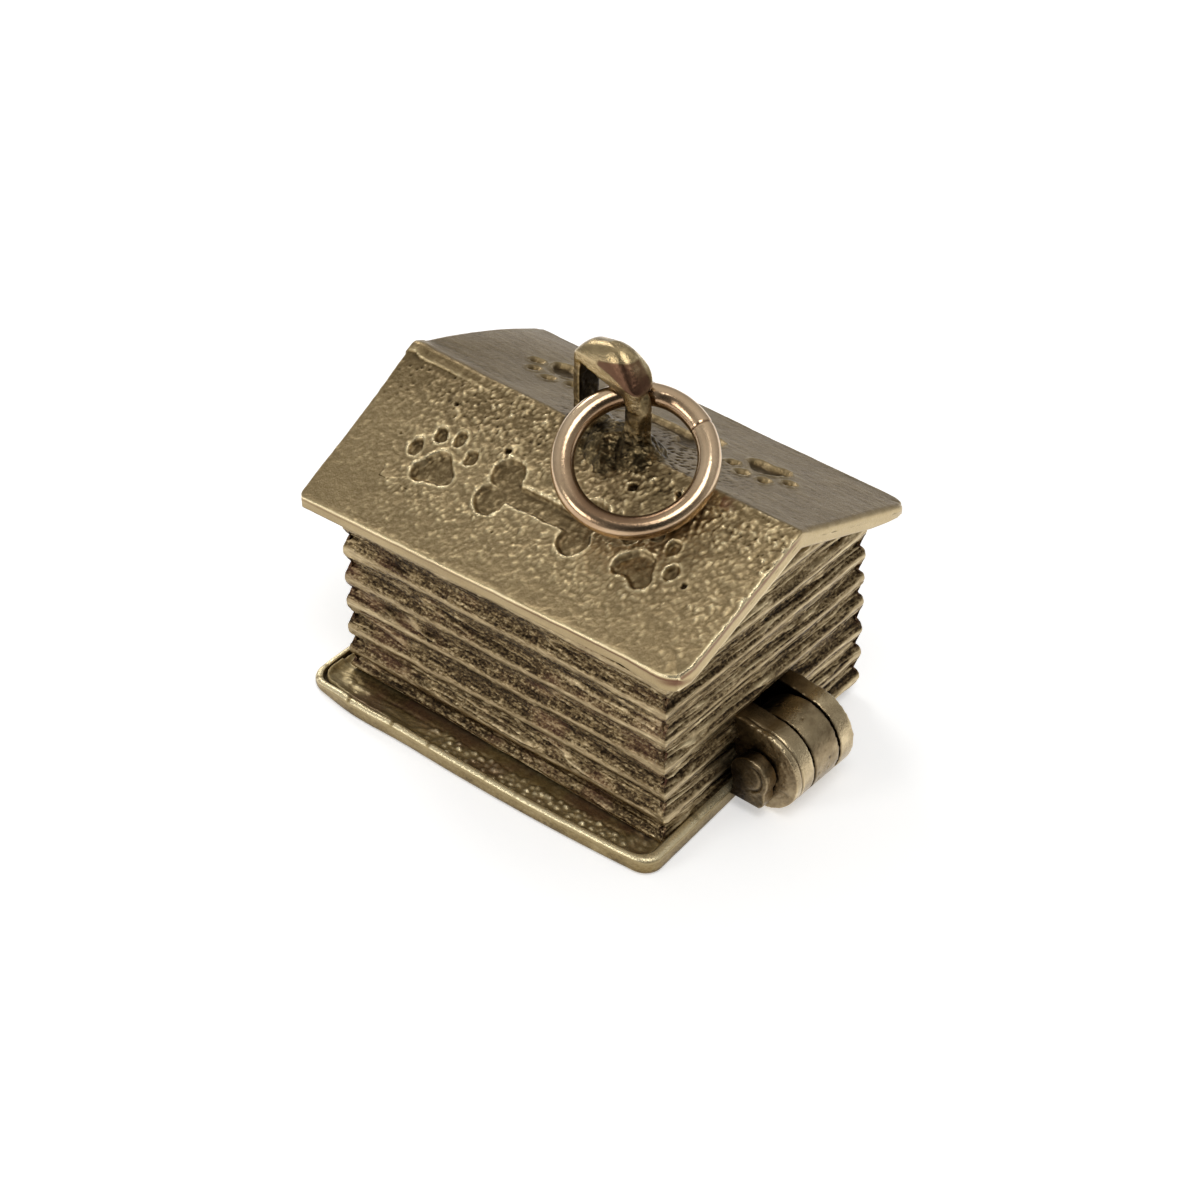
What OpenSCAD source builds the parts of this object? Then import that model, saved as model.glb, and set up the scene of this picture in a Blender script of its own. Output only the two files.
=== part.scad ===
// Opening charm: a little gable-roofed kennel that hinges up off its base tray.
// The origin is the middle of the tray's underside, +X runs along the ridge
// towards the hinge, +Y across the house and +Z up. Millimetres.

/* [Roof] */
// Length of the roof along its eaves
roof_len = 15.9; // [15:0.1:17]
// How far the near eave reaches out in front of the ridge line
roof_front = 5.75; // [5.5:0.05:6.2]
// How far the far eave reaches out behind the ridge line
roof_back = 6.15; // [5.5:0.05:6.4]
// Rise from the eaves to the ridge
roof_rise = 2.5; // [2:0.1:3.2]
// Thickness of the roof, square to its slope
roof_t = 0.6; // [0.5:0.05:0.8]
// How far the ridge runs on past the eaves at each end
ridge_ext = 0.16; // [0:0.02:0.3]
// Height of the top of the eaves above the ground
eave_z = 8; // [7.5:0.1:9]

/* [Walls] */
// Length of the house over its boards
wall_len = 13.85; // [13:0.05:14.2]
// Width of the house over its boards
wall_w = 10.2; // [9.5:0.1:10.6]
// Thickness from the face of a board to the inside
wall_t = 0.95; // [0.8:0.05:1.2]
// Height of one board
board_h = 1.02; // [0.9:0.01:1.2]
// Depth of the grooves between the boards
groove = 0.22; // [0.1:0.01:0.3]

/* [Base tray] */
// Length of the tray
tray_len = 14.95; // [14.8:0.05:16]
// How far the tray's corners reach out in front of the ridge line
tray_front = 6.35; // [5.8:0.05:6.8]
// How far the tray's corners reach out behind the ridge line
tray_back = 5.2; // [5.15:0.05:6.5]
// How far each long side bows out in the middle
tray_bow = 0.33; // [0.1:0.01:1]
// Thickness of the tray's floor
floor_t = 0.25; // [0.2:0.05:0.4]
// Height of the rim above the ground
rim_h = 0.62; // [0.5:0.02:0.8]
// Width of the rim
rim_w = 0.36; // [0.25:0.01:0.45]

/* [Hinge] */
// Outer radius of the knuckles
knuckle_r = 1.52; // [1.3:0.02:1.54]
// Radius of the hinge pin
pin_r = 0.35; // [0.25:0.01:0.5]
// Running clearance round the pin in the house's knuckles
pin_clear = 0.03; // [0.02:0.01:0.08]
// Radius of the small end lug
lug_r = 0.74; // [0.6:0.02:0.76]

/* [Bail and ring] */
// Length of the bail's cap
cap_len = 2.8; // [2.7:0.05:3]
// Depth of the bail's cap, along its hole
cap_depth = 1.1; // [1:0.05:1.3]
// Height of the bail's hole above the ridge
cap_under = 2.42; // [2.42:0.02:2.6]
// Thickness of the cap
cap_t = 0.95; // [0.7:0.05:1.1]
// Radius of the jump ring to the middle of its wire
ring_r = 2.31; // [2.2:0.01:2.4]
// Radius of the jump ring's wire
ring_wire_r = 0.385; // [0.35:0.005:0.4]

/* [Engraving] */
// Depth of the engraved marks in the roof
cut_depth = 0.16; // [0.05:0.01:0.25]
// Distance from the middle mark to the mark on each side
mark_spacing = 4.3; // [4.1:0.1:4.8]

/* [Hidden] */

ridge_z = eave_z + roof_rise;
front_fall = roof_rise / roof_front;
back_fall = roof_rise / roof_back;
roof_drop = roof_t / cos(atan(front_fall));

// the roof and the walls lie a little nearer the hinge than the middle of the tray
roof_shift = 0.04;
roof_x0 = roof_shift - roof_len / 2;
roof_x1 = roof_shift + roof_len / 2;
wall_shift = 0.1;
wall_x1 = wall_len / 2 + wall_shift;
wall_x0 = wall_x1 - wall_len;
wall_y = wall_w / 2;
wall_lift = 0.07;
wall_z0 = floor_t + wall_lift;
side_boards = ceil((eave_z - wall_z0) / board_h);
end_boards = ceil((ridge_z - wall_z0) / board_h);

// the tray's hinge end slants a little, so its back corner lies inside the wall
tray_x1 = 7.34;
tray_x1_back = 6.72;
tray_x0 = tray_x1 - tray_len;
tray_mid = (tray_x0 + tray_x1) / 2;
corner_far = 0.8;
corner_hinge = 0.65;
corner_draw = 0.6;
edge_steps = 24;
corner_steps = 6;

pin_x = 7.91;
pin_z = 1.56;
near_leaf = [-1.3, -0.37];
far_leaf = [1.05, 1.75];
knuckle = [-0.32, 0.95];
lug = [-1.9, -1.36];
block_x0 = 6.16;
notch_gap = 0.12;
wall_gap = 0.08;
notch_top = 3.3;
leaf_root_z = 3.2;
tongue_out = 0.2;
tongue_h = 0.56;
chamfer = 0.45;
pin_short = 0.02;

// the bail is turned a little on the ridge, and its cap slopes down to the hinge
bail_at = [0.39, 0.37];
bail_turn = -5;
cap_tilt = 7.5;
cap_side_r = 0.42;
leg_foot = 0.9;
left_leg_v = [-0.5, 0.45];
right_leg = [[0.78, -0.58], [1.45, -0.58], [1.66, -0.3], [1.66, 0], [1.3, 0]];
seat_r = 1.1;
seat_h = 0.42;

// the ring hangs through the bail and leans on the front slope
ring_at = [2.43, -1.11, 11.15];
ring_lean = 30.1;
ring_turn = -62.6;

far = 40;
eps = 0.01;
$fn = 48;

// one board in profile: [share of its height, share of the groove's depth]
board = [[0, -1], [0.12, -0.45], [0.34, 0], [0.68, 0], [0.9, -0.45]];

function board_side(face, count, side = 1) = [
    for (i = [0:count - 1], p = board)
        [side * (face + p[1] * groove), wall_z0 + (i + p[0]) * board_h]
];

function arc(at, r, a0, a1, steps = corner_steps) = [
    for (i = [0:steps])
        let (a = a0 + (a1 - a0) * i / steps) [at[0] + r * cos(a), at[1] + r * sin(a)]
];

function side_y(x, reach) = -reach - tray_bow * (1 - pow((x - tray_mid) / (tray_len / 2), 2));
side_a = atan(4 * tray_bow / tray_len);

function flip(points) = [for (i = [len(points) - 1:-1:0]) [points[i][0], -points[i][1]]];

// one long side of the tray with its two corners, drawn in by an inset
function tray_side(inset, reach, x1) =
    let (
        r0 = corner_far - inset * corner_draw,
        r1 = max(corner_hinge - inset * corner_draw, 0.1),
        c0 = tray_x0 + inset + r0,
        c1 = x1 - inset - r1,
        e0 = c0 - r0 * sin(side_a),
        e1 = c1 + r1 * sin(side_a),
        y0 = side_y(e0, reach) + inset + r0 * cos(side_a),
        y1 = side_y(e1, reach) + inset + r1 * cos(side_a)
    )
    concat(
        arc([c0, y0], r0, 180, 270 - side_a),
        [
            for (i = [1:edge_steps - 1])
                let (x = e0 + (e1 - e0) * i / edge_steps) [x, side_y(x, reach) + inset]
        ],
        arc([c1, y1], r1, 270 + side_a, 360)
    );

module tray_outline(inset) {
    polygon(concat(
        tray_side(inset, tray_front, tray_x1),
        flip(tray_side(inset, tray_back, tray_x1_back))
    ));
}

// a section drawn in Y and Z, drawn out along X
module along_x(x0, x1) {
    translate([x0, 0, 0]) rotate([90, 0, 90]) linear_extrude(x1 - x0) children();
}

// a section drawn in X and Z, drawn out along Y
module along_y(y0, y1) {
    translate([0, y1, 0]) rotate([90, 0, 0]) linear_extrude(y1 - y0) children();
}

module pin_hole(r) {
    translate([pin_x, far / 2, pin_z]) rotate([90, 0, 0]) cylinder(h = far, r = r);
}

module roof() {
    intersection() {
        along_x(-far / 2, far / 2)
            polygon([
                [-roof_front, eave_z - roof_drop], [-roof_front, eave_z], [0, ridge_z],
                [roof_back, eave_z], [roof_back, eave_z - roof_drop], [0, ridge_z - roof_drop]
            ]);
        linear_extrude(far)
            polygon([
                [roof_x0, -roof_front], [roof_x1, -roof_front], [roof_x1 + ridge_ext, 0],
                [roof_x1, roof_back], [roof_x0, roof_back], [roof_x0 - ridge_ext, 0]
            ]);
    }
}

// the boarded walls and both gables, still solid
module wall_block() {
    top = eave_z - roof_drop / 2;
    right = [for (p = board_side(wall_y, side_boards)) if (p[1] < top) p];
    left = [for (p = board_side(wall_y, side_boards, -1)) if (p[1] < top) p];
    end1 = [for (p = board_side(wall_x1, end_boards)) if (p[1] < ridge_z) p];
    end0 = [for (p = board_side(-wall_x0, end_boards, -1)) if (p[1] < ridge_z) p];
    under = ridge_z - roof_drop / 2;
    intersection() {
        along_x(-far / 2, far / 2)
            polygon(concat(
                right,
                [[wall_y, under - back_fall * wall_y], [0, under], [-wall_y, under - front_fall * wall_y]],
                [for (i = [len(left) - 1:-1:0]) left[i]]
            ));
        along_y(-far / 2, far / 2)
            polygon(concat(end1, [for (i = [len(end0) - 1:-1:0]) end0[i]]));
    }
}

module cavity() {
    y = wall_y - wall_t;
    top = ridge_z - roof_drop;
    along_x(wall_x0 + wall_t, wall_x1 - wall_t)
        polygon([[-y, -1], [y, -1], [y, top - back_fall * y], [0, top], [-y, top - front_fall * y]]);
}

// a knuckle of the house: a round barrel carried by a flat-topped strap from the wall
module hinge_leaf(span) {
    along_y(span[0], span[1]) {
        translate([pin_x, pin_z]) circle(knuckle_r);
        polygon([
            [wall_x1 - 0.5, pin_z - 0.5], [pin_x, pin_z - 0.5], [pin_x, pin_z + knuckle_r],
            [wall_x1, leaf_root_z], [wall_x1 - 0.5, leaf_root_z]
        ]);
    }
}

// the cut in the gable wall that lets the tray's knuckle turn
module wall_notch() {
    translate([wall_x1 - wall_t - 0.5, near_leaf[1], -1])
        cube([wall_t + 1, far_leaf[0] - near_leaf[1], notch_top + 1]);
}

// the cap: an arch seen along its hole, and round on top seen from its end
module bail_cap() {
    side_r = cap_side_r;
    arch_r = cap_len / 2;
    arch_z = cap_under + cap_t - arch_r;
    translate([0, 0, cap_under]) rotate([0, cap_tilt, 0]) translate([0, 0, -cap_under])
        intersection() {
            along_y(-far / 2, far / 2)
                difference() {
                    union() {
                        translate([0, arch_z]) circle(arch_r);
                        translate([-arch_r, 0]) square([cap_len, arch_z]);
                    }
                    translate([-far / 2, cap_under - far]) square(far);
                }
            along_x(-far / 2, far / 2) {
                translate([-cap_depth / 2, 0]) square([cap_depth, cap_under + cap_t - side_r]);
                translate([-cap_depth / 2 + side_r, 0]) square([cap_depth - 2 * side_r, cap_under + cap_t]);
                for (s = [-1, 1])
                    translate([s * (cap_depth / 2 - side_r), cap_under + cap_t - side_r])
                        circle(side_r - eps);
            }
        }
}

// a thick cast loop: a cap on two legs, with metal run round its feet
module bail() {
    half = cap_len / 2;
    translate([bail_at[0], bail_at[1], ridge_z]) rotate([0, 0, bail_turn]) {
        bail_cap();
        along_y(left_leg_v[0], left_leg_v[1])
            polygon([
                [-half + 0.1, -leg_foot], [-half + 0.5, -leg_foot], [-half + 0.62, cap_under + 0.25],
                [-half + 0.3, cap_under + 0.25], [-half, cap_under * 0.8]
            ]);
        translate([0, 0, -leg_foot]) linear_extrude(cap_under + leg_foot) polygon(right_leg);
        for (u = [-0.9, 0.1, 1.1])
            translate([u, -0.2, seat_h - seat_r]) sphere(seat_r);
    }
}

// a bone: a bar with two round knobs at each end
module bone_mark(length = 4.7, knob = 0.6) {
    square([length - 2 * knob, knob * 1.3], center = true);
    for (x = [-1, 1], y = [-1, 1])
        translate([x * (length / 2 - knob), y * knob * 0.8]) circle(knob);
}

// a paw print: one broad pad and four toes
module paw_mark() {
    for (p = [[0, -0.3, 0.56], [-0.42, -0.6, 0.38], [0.42, -0.6, 0.38]])
        translate([p[0], p[1]]) circle(p[2]);
    for (p = [[-1.02, 0.22], [-0.38, 0.82], [0.38, 0.82], [1.02, 0.22]])
        translate(p) circle(0.29);
}

// marks lie on a slope: x along the ridge, y up the slope from its middle
module on_slope(side) {
    reach = side < 0 ? roof_front : roof_back;
    rotate([0, 0, side < 0 ? 0 : 180])
        translate([0, -reach / 2, (eave_z + ridge_z) / 2])
            rotate([atan(roof_rise / reach), 0, 0])
                translate([0, 0, -cut_depth]) linear_extrude(1) children();
}

module engraving() {
    for (side = [-1, 1])
        on_slope(side) {
            bone_mark();
            for (s = [-1, 1]) translate([s * mark_spacing, 0]) rotate(s * -12) paw_mark();
        }
}

module kennel_shell() {
    color("darkgoldenrod")
        difference() {
            union() {
                difference() {
                    union() {
                        roof();
                        wall_block();
                        bail();
                    }
                    cavity();
                    wall_notch();
                    engraving();
                }
                hinge_leaf(near_leaf);
                hinge_leaf(far_leaf);
            }
            pin_hole(pin_r + pin_clear);
        }
}

// the plate with its rim, cut away where the walls stand and the house's knuckles turn
module tray_plate() {
    difference() {
        linear_extrude(rim_h) tray_outline(0);
        translate([0, 0, floor_t]) linear_extrude(far) tray_outline(rim_w);
        translate([wall_x0, -wall_y - wall_gap, floor_t])
            cube([wall_len + wall_gap, wall_w + 2 * wall_gap, far]);
        for (span = [near_leaf, far_leaf])
            translate([pin_x, span[1] + notch_gap, pin_z])
                rotate([90, 0, 0])
                    cylinder(h = span[1] - span[0] + 2 * notch_gap, r = knuckle_r + notch_gap);
    }
}

module tray_knuckle() {
    along_y(knuckle[0], knuckle[1]) {
        translate([pin_x, pin_z]) circle(knuckle_r);
        translate([block_x0, 0]) square([pin_x - block_x0, pin_z]);
    }
}

// a small lug beside the near knuckle, on a low tongue with a rounded underside
module tray_lug() {
    x0 = pin_x - lug_r;
    x1 = pin_x + lug_r;
    intersection() {
        along_y(lug[0], lug[1]) {
            translate([pin_x, pin_z]) circle(lug_r);
            polygon([
                [x0, pin_z], [x0, floor_t], [block_x0, floor_t], [block_x0, 0],
                [pin_x - 0.5, 0], [pin_x + 0.2, 0.1], [x1, 0.22], [x1 + tongue_out, 0.4],
                [x1 + tongue_out, tongue_h], [x1 - 0.1, tongue_h], [x1 - 0.02, pin_z]
            ]);
        }
        along_x(-far, far)
            polygon([[lug[0], chamfer], [lug[0] + chamfer, 0], [0, 0], [0, far], [lug[0], far]]);
    }
}

module base_tray() {
    color("goldenrod")
        difference() {
            union() {
                tray_plate();
                tray_knuckle();
                tray_lug();
            }
            pin_hole(pin_r + eps);
        }
}

module hinge_pin() {
    color("peru")
        translate([pin_x, far_leaf[1] - pin_short, pin_z])
            rotate([90, 0, 0]) cylinder(h = far_leaf[1] - lug[0] - 2 * pin_short, r = pin_r);
}

module jump_ring() {
    color("rosybrown")
        translate(ring_at) rotate([0, 0, ring_turn]) rotate([0, ring_lean, 0])
            rotate_extrude() translate([ring_r, 0]) circle(ring_wire_r);
}

kennel_shell();
base_tray();
hinge_pin();
jump_ring();
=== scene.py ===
import math
import bpy
import numpy as np
from mathutils import Matrix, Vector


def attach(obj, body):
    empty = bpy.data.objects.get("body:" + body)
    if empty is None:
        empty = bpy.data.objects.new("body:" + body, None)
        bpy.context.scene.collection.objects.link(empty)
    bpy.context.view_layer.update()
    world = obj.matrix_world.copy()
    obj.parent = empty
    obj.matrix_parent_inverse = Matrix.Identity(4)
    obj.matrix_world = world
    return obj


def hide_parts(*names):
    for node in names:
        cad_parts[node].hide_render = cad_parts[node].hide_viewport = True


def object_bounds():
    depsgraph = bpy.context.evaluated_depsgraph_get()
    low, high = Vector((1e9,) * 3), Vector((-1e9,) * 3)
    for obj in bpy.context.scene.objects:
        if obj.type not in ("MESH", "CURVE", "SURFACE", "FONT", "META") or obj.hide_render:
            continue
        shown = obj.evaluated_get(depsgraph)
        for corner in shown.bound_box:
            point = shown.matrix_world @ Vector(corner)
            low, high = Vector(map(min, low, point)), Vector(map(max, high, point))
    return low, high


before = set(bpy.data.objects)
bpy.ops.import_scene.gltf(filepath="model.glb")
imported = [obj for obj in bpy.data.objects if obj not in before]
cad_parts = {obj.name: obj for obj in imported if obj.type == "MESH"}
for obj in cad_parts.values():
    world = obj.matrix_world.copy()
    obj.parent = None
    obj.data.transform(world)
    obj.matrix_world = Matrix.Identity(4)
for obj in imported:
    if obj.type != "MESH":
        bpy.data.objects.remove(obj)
first_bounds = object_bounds()
COARSE = 1.0
VOXEL_COARSE = 1

# Everything below is worked out in millimetres and becomes metres when a mesh is made.
MM = 0.001

# sizes that follow part.scad
ROOF_LEN, ROOF_SHIFT, ROOF_FRONT, ROOF_BACK = 15.9, 0.04, 5.75, 6.15
EAVE_Z, RIDGE_Z, ROOF_T, RIDGE_EXT = 8.0, 10.5, 0.6, 0.16
ROOF_DROP = ROOF_T * math.hypot(ROOF_FRONT, RIDGE_Z - EAVE_Z) / ROOF_FRONT
WALL_X0, WALL_X1, WALL_Y, WALL_T = -6.825, 7.025, 5.1, 0.95
FLOOR_T, RIM_H, RIM_W = 0.25, 0.62, 0.36
TRAY_X1, TRAY_X1_BACK, TRAY_LEN, TRAY_FRONT, TRAY_BACK, TRAY_BOW = 7.34, 6.72, 14.95, 6.35, 5.2, 0.33
TRAY_CORNER_LEFT, TRAY_CORNER_HINGE = 0.8, 0.65
PIN_X, PIN_Z, KNUCKLE_R, LUG_R = 7.91, 1.56, 1.52, 0.74
LUG_Y, TRAY_KNUCKLE_Y = (-1.9, -1.36), (-0.32, 0.95)
NEAR_KNUCKLE_Y, FAR_KNUCKLE_Y = (-1.3, -0.37), (1.05, 1.75)
NOTCH_Y, NOTCH_TOP = (NEAR_KNUCKLE_Y[1], FAR_KNUCKLE_Y[0]), 3.3
BAIL_AT, BAIL_TURN = (0.39, 0.37), math.radians(-5)
RING_AT, RING_LEAN, RING_TURN = (2.43, -1.11, 11.15), math.radians(30.1), math.radians(-62.6)
RING_R, WIRE_R = 2.31, 0.385


# curves that turn a distance into a share from 0 to 1

def clamp(v):
    return np.clip(v, 0, 1)


def step(a, b, v):
    """0 up to a and 1 from b on, with a soft slope between."""
    t = clamp((v - a) / (b - a))
    return t * t * (3 - 2 * t)


def bell(d, width):
    """1 where d is 0, falling softly to 0 over about twice the width on each side."""
    return np.exp(-(d / width) ** 2)


def dome(d, r):
    """1 where d is 0, falling straight to 0 at r."""
    return clamp(1 - d / r)


def bump_at(d, r):
    """A round bump or dent of radius r at distance d from its middle."""
    return clamp(1 - (d / r) ** 2) ** 1.5


# noise at places given as arrays; noise and fractal give values from -1 to 1

def lattice(ix, iy, iz, seed):
    """A fixed random number from 0 to 1 for each whole-number place."""
    h = (ix.astype(np.int64).astype(np.uint32) * np.uint32(374761393)
         + iy.astype(np.int64).astype(np.uint32) * np.uint32(668265263)
         + iz.astype(np.int64).astype(np.uint32) * np.uint32(2246822519)
         + np.uint32((seed * 3266489917) & 0xFFFFFFFF))
    h = (h ^ (h >> np.uint32(13))) * np.uint32(1274126177)
    h = (h ^ (h >> np.uint32(16))) * np.uint32(2654435761)
    h = h ^ (h >> np.uint32(15))
    return (h & np.uint32(0xFFFFFF)).astype(np.float64) / 0xFFFFFF


def noise(x, y, z=0.0, seed=0):
    """Smooth noise with a cell of one unit."""
    x, y, z = np.broadcast_arrays(np.asarray(x, float), y, z)
    x0, y0, z0 = np.floor(x), np.floor(y), np.floor(z)
    fx, fy, fz = (f * f * f * (f * (f * 6 - 15) + 10) for f in (x - x0, y - y0, z - z0))
    total = 0
    for i in (0, 1):
        for j in (0, 1):
            for k in (0, 1):
                w = (fx if i else 1 - fx) * (fy if j else 1 - fy) * (fz if k else 1 - fz)
                total += w * lattice(x0 + i, y0 + j, z0 + k, seed)
    return total * 2 - 1


def fractal(x, y, z=0.0, seed=0, octaves=4, gain=0.5):
    """Noise with finer and weaker noise on it, each layer twice as fine as the last."""
    total, amp, size = 0, 1.0, 0
    for o in range(octaves):
        f = 2.0 ** o
        total += amp * noise(np.asarray(x) * f, np.asarray(y) * f, np.asarray(z) * f, seed + o)
        size += amp
        amp *= gain
    return total / size


def fractal_at(places, scale, seed, octaves=4):
    return fractal(*(places * np.array(scale)).T, seed, octaves)


def cells(x, y, seed):
    """The distance to the middle of the nearest grain, and a random number from 0 to 1 for that grain."""
    x0, y0 = np.floor(x), np.floor(y)
    near, pick = 9.0, 0.0
    for i in (-1, 0, 1):
        for j in (-1, 0, 1):
            cx, cy = x0 + i, y0 + j
            px = cx + 0.1 + 0.8 * lattice(cx, cy, cx * 0, seed)
            py = cy + 0.1 + 0.8 * lattice(cx, cy, cx * 0, seed + 31)
            d = np.hypot(x - px, y - py)
            pick = np.where(d < near, lattice(cx, cy, cx * 0, seed + 77), pick)
            near = np.minimum(d, near)
    return near, pick


def blur(h, r):
    """A grid averaged over r rows and columns each way."""
    for axis in (0, 1):
        pad = [(0, 0), (0, 0)]
        pad[axis] = (r + 1, r)
        c = np.cumsum(np.pad(h, pad, mode="edge"), axis=axis)
        at = np.arange(h.shape[axis])
        h = (np.take(c, at + 2 * r + 1, axis=axis) - np.take(c, at, axis=axis)) / (2 * r + 1)
    return h


# meshes

LOW, HIGH = (np.array(corner) / MM for corner in first_bounds)
BOX_GAP = 0.002


def within(places):
    """Places in mm, held inside the box that the solids fill."""
    return np.clip(places, LOW + BOX_GAP, HIGH - BOX_GAP)


def mesh_object(name, places, faces):
    """An object in the scene, from places in metres and each face's corners."""
    me = bpy.data.meshes.new(name)
    me.from_pydata(places, [], faces)
    me.update()
    obj = bpy.data.objects.new(name, me)
    bpy.context.scene.collection.objects.link(obj)
    return obj


def smooth_shaded(me):
    me.polygons.foreach_set("use_smooth", np.ones(len(me.polygons), bool))
    me.update()


def store(me, name, values):
    """A number from 0 to 1 for each vertex, which the materials read by its name."""
    numbers = clamp(values).astype(np.float32).ravel()
    me.attributes.new(name, "FLOAT", "POINT").data.foreach_set("value", numbers)


def place_vertices(me, places):
    me.vertices.foreach_set("co", (places * MM).astype(np.float32).ravel())
    me.update()


def grid_object(name, P, faces, **numbers):
    """A smooth object from a grid of places in mm, its faces, and the named numbers at each place."""
    used, faces = np.unique(faces, return_inverse=True)
    places = within(P.reshape(-1, 3)[used]) * MM
    obj = mesh_object(name, places, faces.reshape(-1, 4).tolist())
    smooth_shaded(obj.data)
    for key, values in numbers.items():
        store(obj.data, key, values.ravel()[used])
    return obj


def grid_faces(n, m, wrap_n=False, wrap_m=False, keep=None):
    """The faces of a grid of n rows and m columns; a wrapped one closes on itself."""
    i, j = np.meshgrid(np.arange(n if wrap_n else n - 1), np.arange(m if wrap_m else m - 1), indexing="ij")
    i2, j2 = (i + 1) % n, (j + 1) % m
    q = np.stack([i * m + j, i2 * m + j, i2 * m + j2, i * m + j2], -1)
    return (q if keep is None else q[keep]).reshape(-1, 4)


def all_corners(mask):
    """For each face of a grid, whether the mask holds at its four corners."""
    return mask[:-1, :-1] & mask[1:, :-1] & mask[1:, 1:] & mask[:-1, 1:]


def closed_grid_normals(P):
    """Unit normals of a grid of points whose columns close on themselves."""
    n = np.cross(np.gradient(P, axis=0), (np.roll(P, -1, 1) - np.roll(P, 1, 1)) / 2)
    return n / np.maximum(np.linalg.norm(n, axis=2, keepdims=True), 1e-12)


# how much of a side's number its straight part takes up, before the corner that ends it
STRAIGHT = 0.98


def rounded_path(points, radii, spacings, arc_steps):
    """A closed outline with rounded corners: each place, and which side it is on and how far along."""
    points = [np.array(p, float) for p in points]
    n = len(points)
    ends = []
    for i, (p, r) in enumerate(zip(points, radii)):
        a, b = (v / np.linalg.norm(v) for v in (points[i - 1] - p, points[(i + 1) % n] - p))
        half = math.acos(float(a @ b)) / 2
        centre = p + (a + b) / np.linalg.norm(a + b) * r / math.sin(half)
        ends.append((p + a * r / math.tan(half), p + b * r / math.tan(half), centre))
    place, side = [], []
    for i in range(n):
        start, (stop, leave, centre), r = ends[i][1], ends[(i + 1) % n], radii[(i + 1) % n]
        count = max(2, int(round(np.linalg.norm(stop - start) / (spacings[i] * COARSE))))
        for k in range(count):
            place.append(start + (stop - start) * k / count)
            side.append(i + k / count * STRAIGHT)
        a0, a1 = (math.atan2(*(v - centre)[::-1]) for v in (stop, leave))
        turn = (a1 - a0 + math.pi) % (2 * math.pi) - math.pi
        for k in range(arc_steps):
            t = a0 + turn * k / arc_steps
            place.append(centre + r * np.array([math.cos(t), math.sin(t)]))
            side.append(i + STRAIGHT + (1 - STRAIGHT) * k / arc_steps)
    return np.array(place), np.array(side)


def smoothed_shape(obj, voxel, passes):
    """One clean skin over an object made of closed shapes that overlap, with its edges rounded."""
    remesh = obj.modifiers.new("skin", "REMESH")
    remesh.mode = "VOXEL"
    remesh.voxel_size = voxel * MM * VOXEL_COARSE
    smooth = obj.modifiers.new("round", "SMOOTH")
    smooth.factor = 0.5
    smooth.iterations = passes
    graph = bpy.context.evaluated_depsgraph_get()
    me = bpy.data.meshes.new_from_object(obj.evaluated_get(graph))
    old = obj.data
    obj.modifiers.clear()
    obj.data = me
    bpy.data.meshes.remove(old)
    me.name = obj.name
    smooth_shaded(me)
    return obj


def mesh_arrays(obj):
    """The vertices' places in mm and their normals, and the two ends of each edge."""
    me = obj.data
    co, no = np.zeros(len(me.vertices) * 3), np.zeros(len(me.vertices) * 3)
    ends = np.zeros(len(me.edges) * 2, np.int32)
    me.vertices.foreach_get("co", co)
    me.vertices.foreach_get("normal", no)
    me.edges.foreach_get("vertices", ends)
    return co.reshape(-1, 3) / MM, no.reshape(-1, 3), ends.reshape(-1, 2)


def averaged(places, edges, passes):
    """The vertices' places, averaged along the edges."""
    a, b = edges.T
    n = len(places)
    count = np.maximum(np.bincount(a, minlength=n) + np.bincount(b, minlength=n), 1)[:, None]
    for _ in range(passes):
        total = np.stack([np.bincount(a, p[b], n) + np.bincount(b, p[a], n) for p in places.T], 1)
        places = 0.5 * places + 0.5 * total / count
    return places


def relief(obj, height, tone_of):
    """Moves the vertices out along their normals, and stores the tone that the materials read."""
    co, no, edges = mesh_arrays(obj)
    h = height(co, no)
    moved = co + no * h[:, None]
    place_vertices(obj.data, within(moved))
    curve = ((moved - averaged(moved, edges, 4)) * no).sum(1)
    store(obj.data, "tone", tone_of(co, no, h, curve))
    return obj


def loft(name, rings):
    """A closed shape through rings of points, each with the same number, its two ends closed."""
    rings = np.asarray(rings, float)
    n, m, _ = rings.shape
    places = np.concatenate([rings.reshape(-1, 3), rings[0].mean(0)[None], rings[-1].mean(0)[None]])
    caps = [(n * m, (j + 1) % m, j) for j in range(m)]
    caps += [(n * m + 1, (n - 1) * m + j, (n - 1) * m + (j + 1) % m) for j in range(m)]
    return mesh_object(name, places * MM, grid_faces(n, m, wrap_m=True).tolist() + caps)


def joined(name, parts):
    """Several objects' meshes as one object."""
    places, faces = [], []
    for part in parts:
        me = part.data
        faces += [tuple(len(places) + i for i in f.vertices) for f in me.polygons]
        places += [tuple(v.co) for v in me.vertices]
        bpy.data.objects.remove(part)
        bpy.data.meshes.remove(me)
    return mesh_object(name, places, faces)


def slab(name, profile, y_range):
    """A profile in X and Z, drawn out along Y."""
    x, z = np.array(profile, float).T
    return loft(name, [np.c_[x, np.full(len(x), y), z] for y in y_range])


def arc_points(cx, cz, r, a0, a1, count):
    """Points on an arc, from the angle a0 to a1 in degrees."""
    t = np.radians(np.linspace(a0, a1, count))
    return [(cx + r * math.cos(a), cz + r * math.sin(a)) for a in t]


# materials

def node(tree, kind, inputs=None, **settings):
    n = tree.nodes.new(kind)
    for key, value in settings.items():
        setattr(n, key, value)
    for key, value in (inputs or {}).items():
        if isinstance(value, bpy.types.NodeSocket):
            tree.links.new(value, n.inputs[key])
        else:
            n.inputs[key].default_value = value
    return n


def maths(tree, op, a, b=0.0, c=0.0, clamp=False):
    return node(tree, "ShaderNodeMath", {0: a, 1: b, 2: c}, operation=op, use_clamp=clamp).outputs[0]


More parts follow.
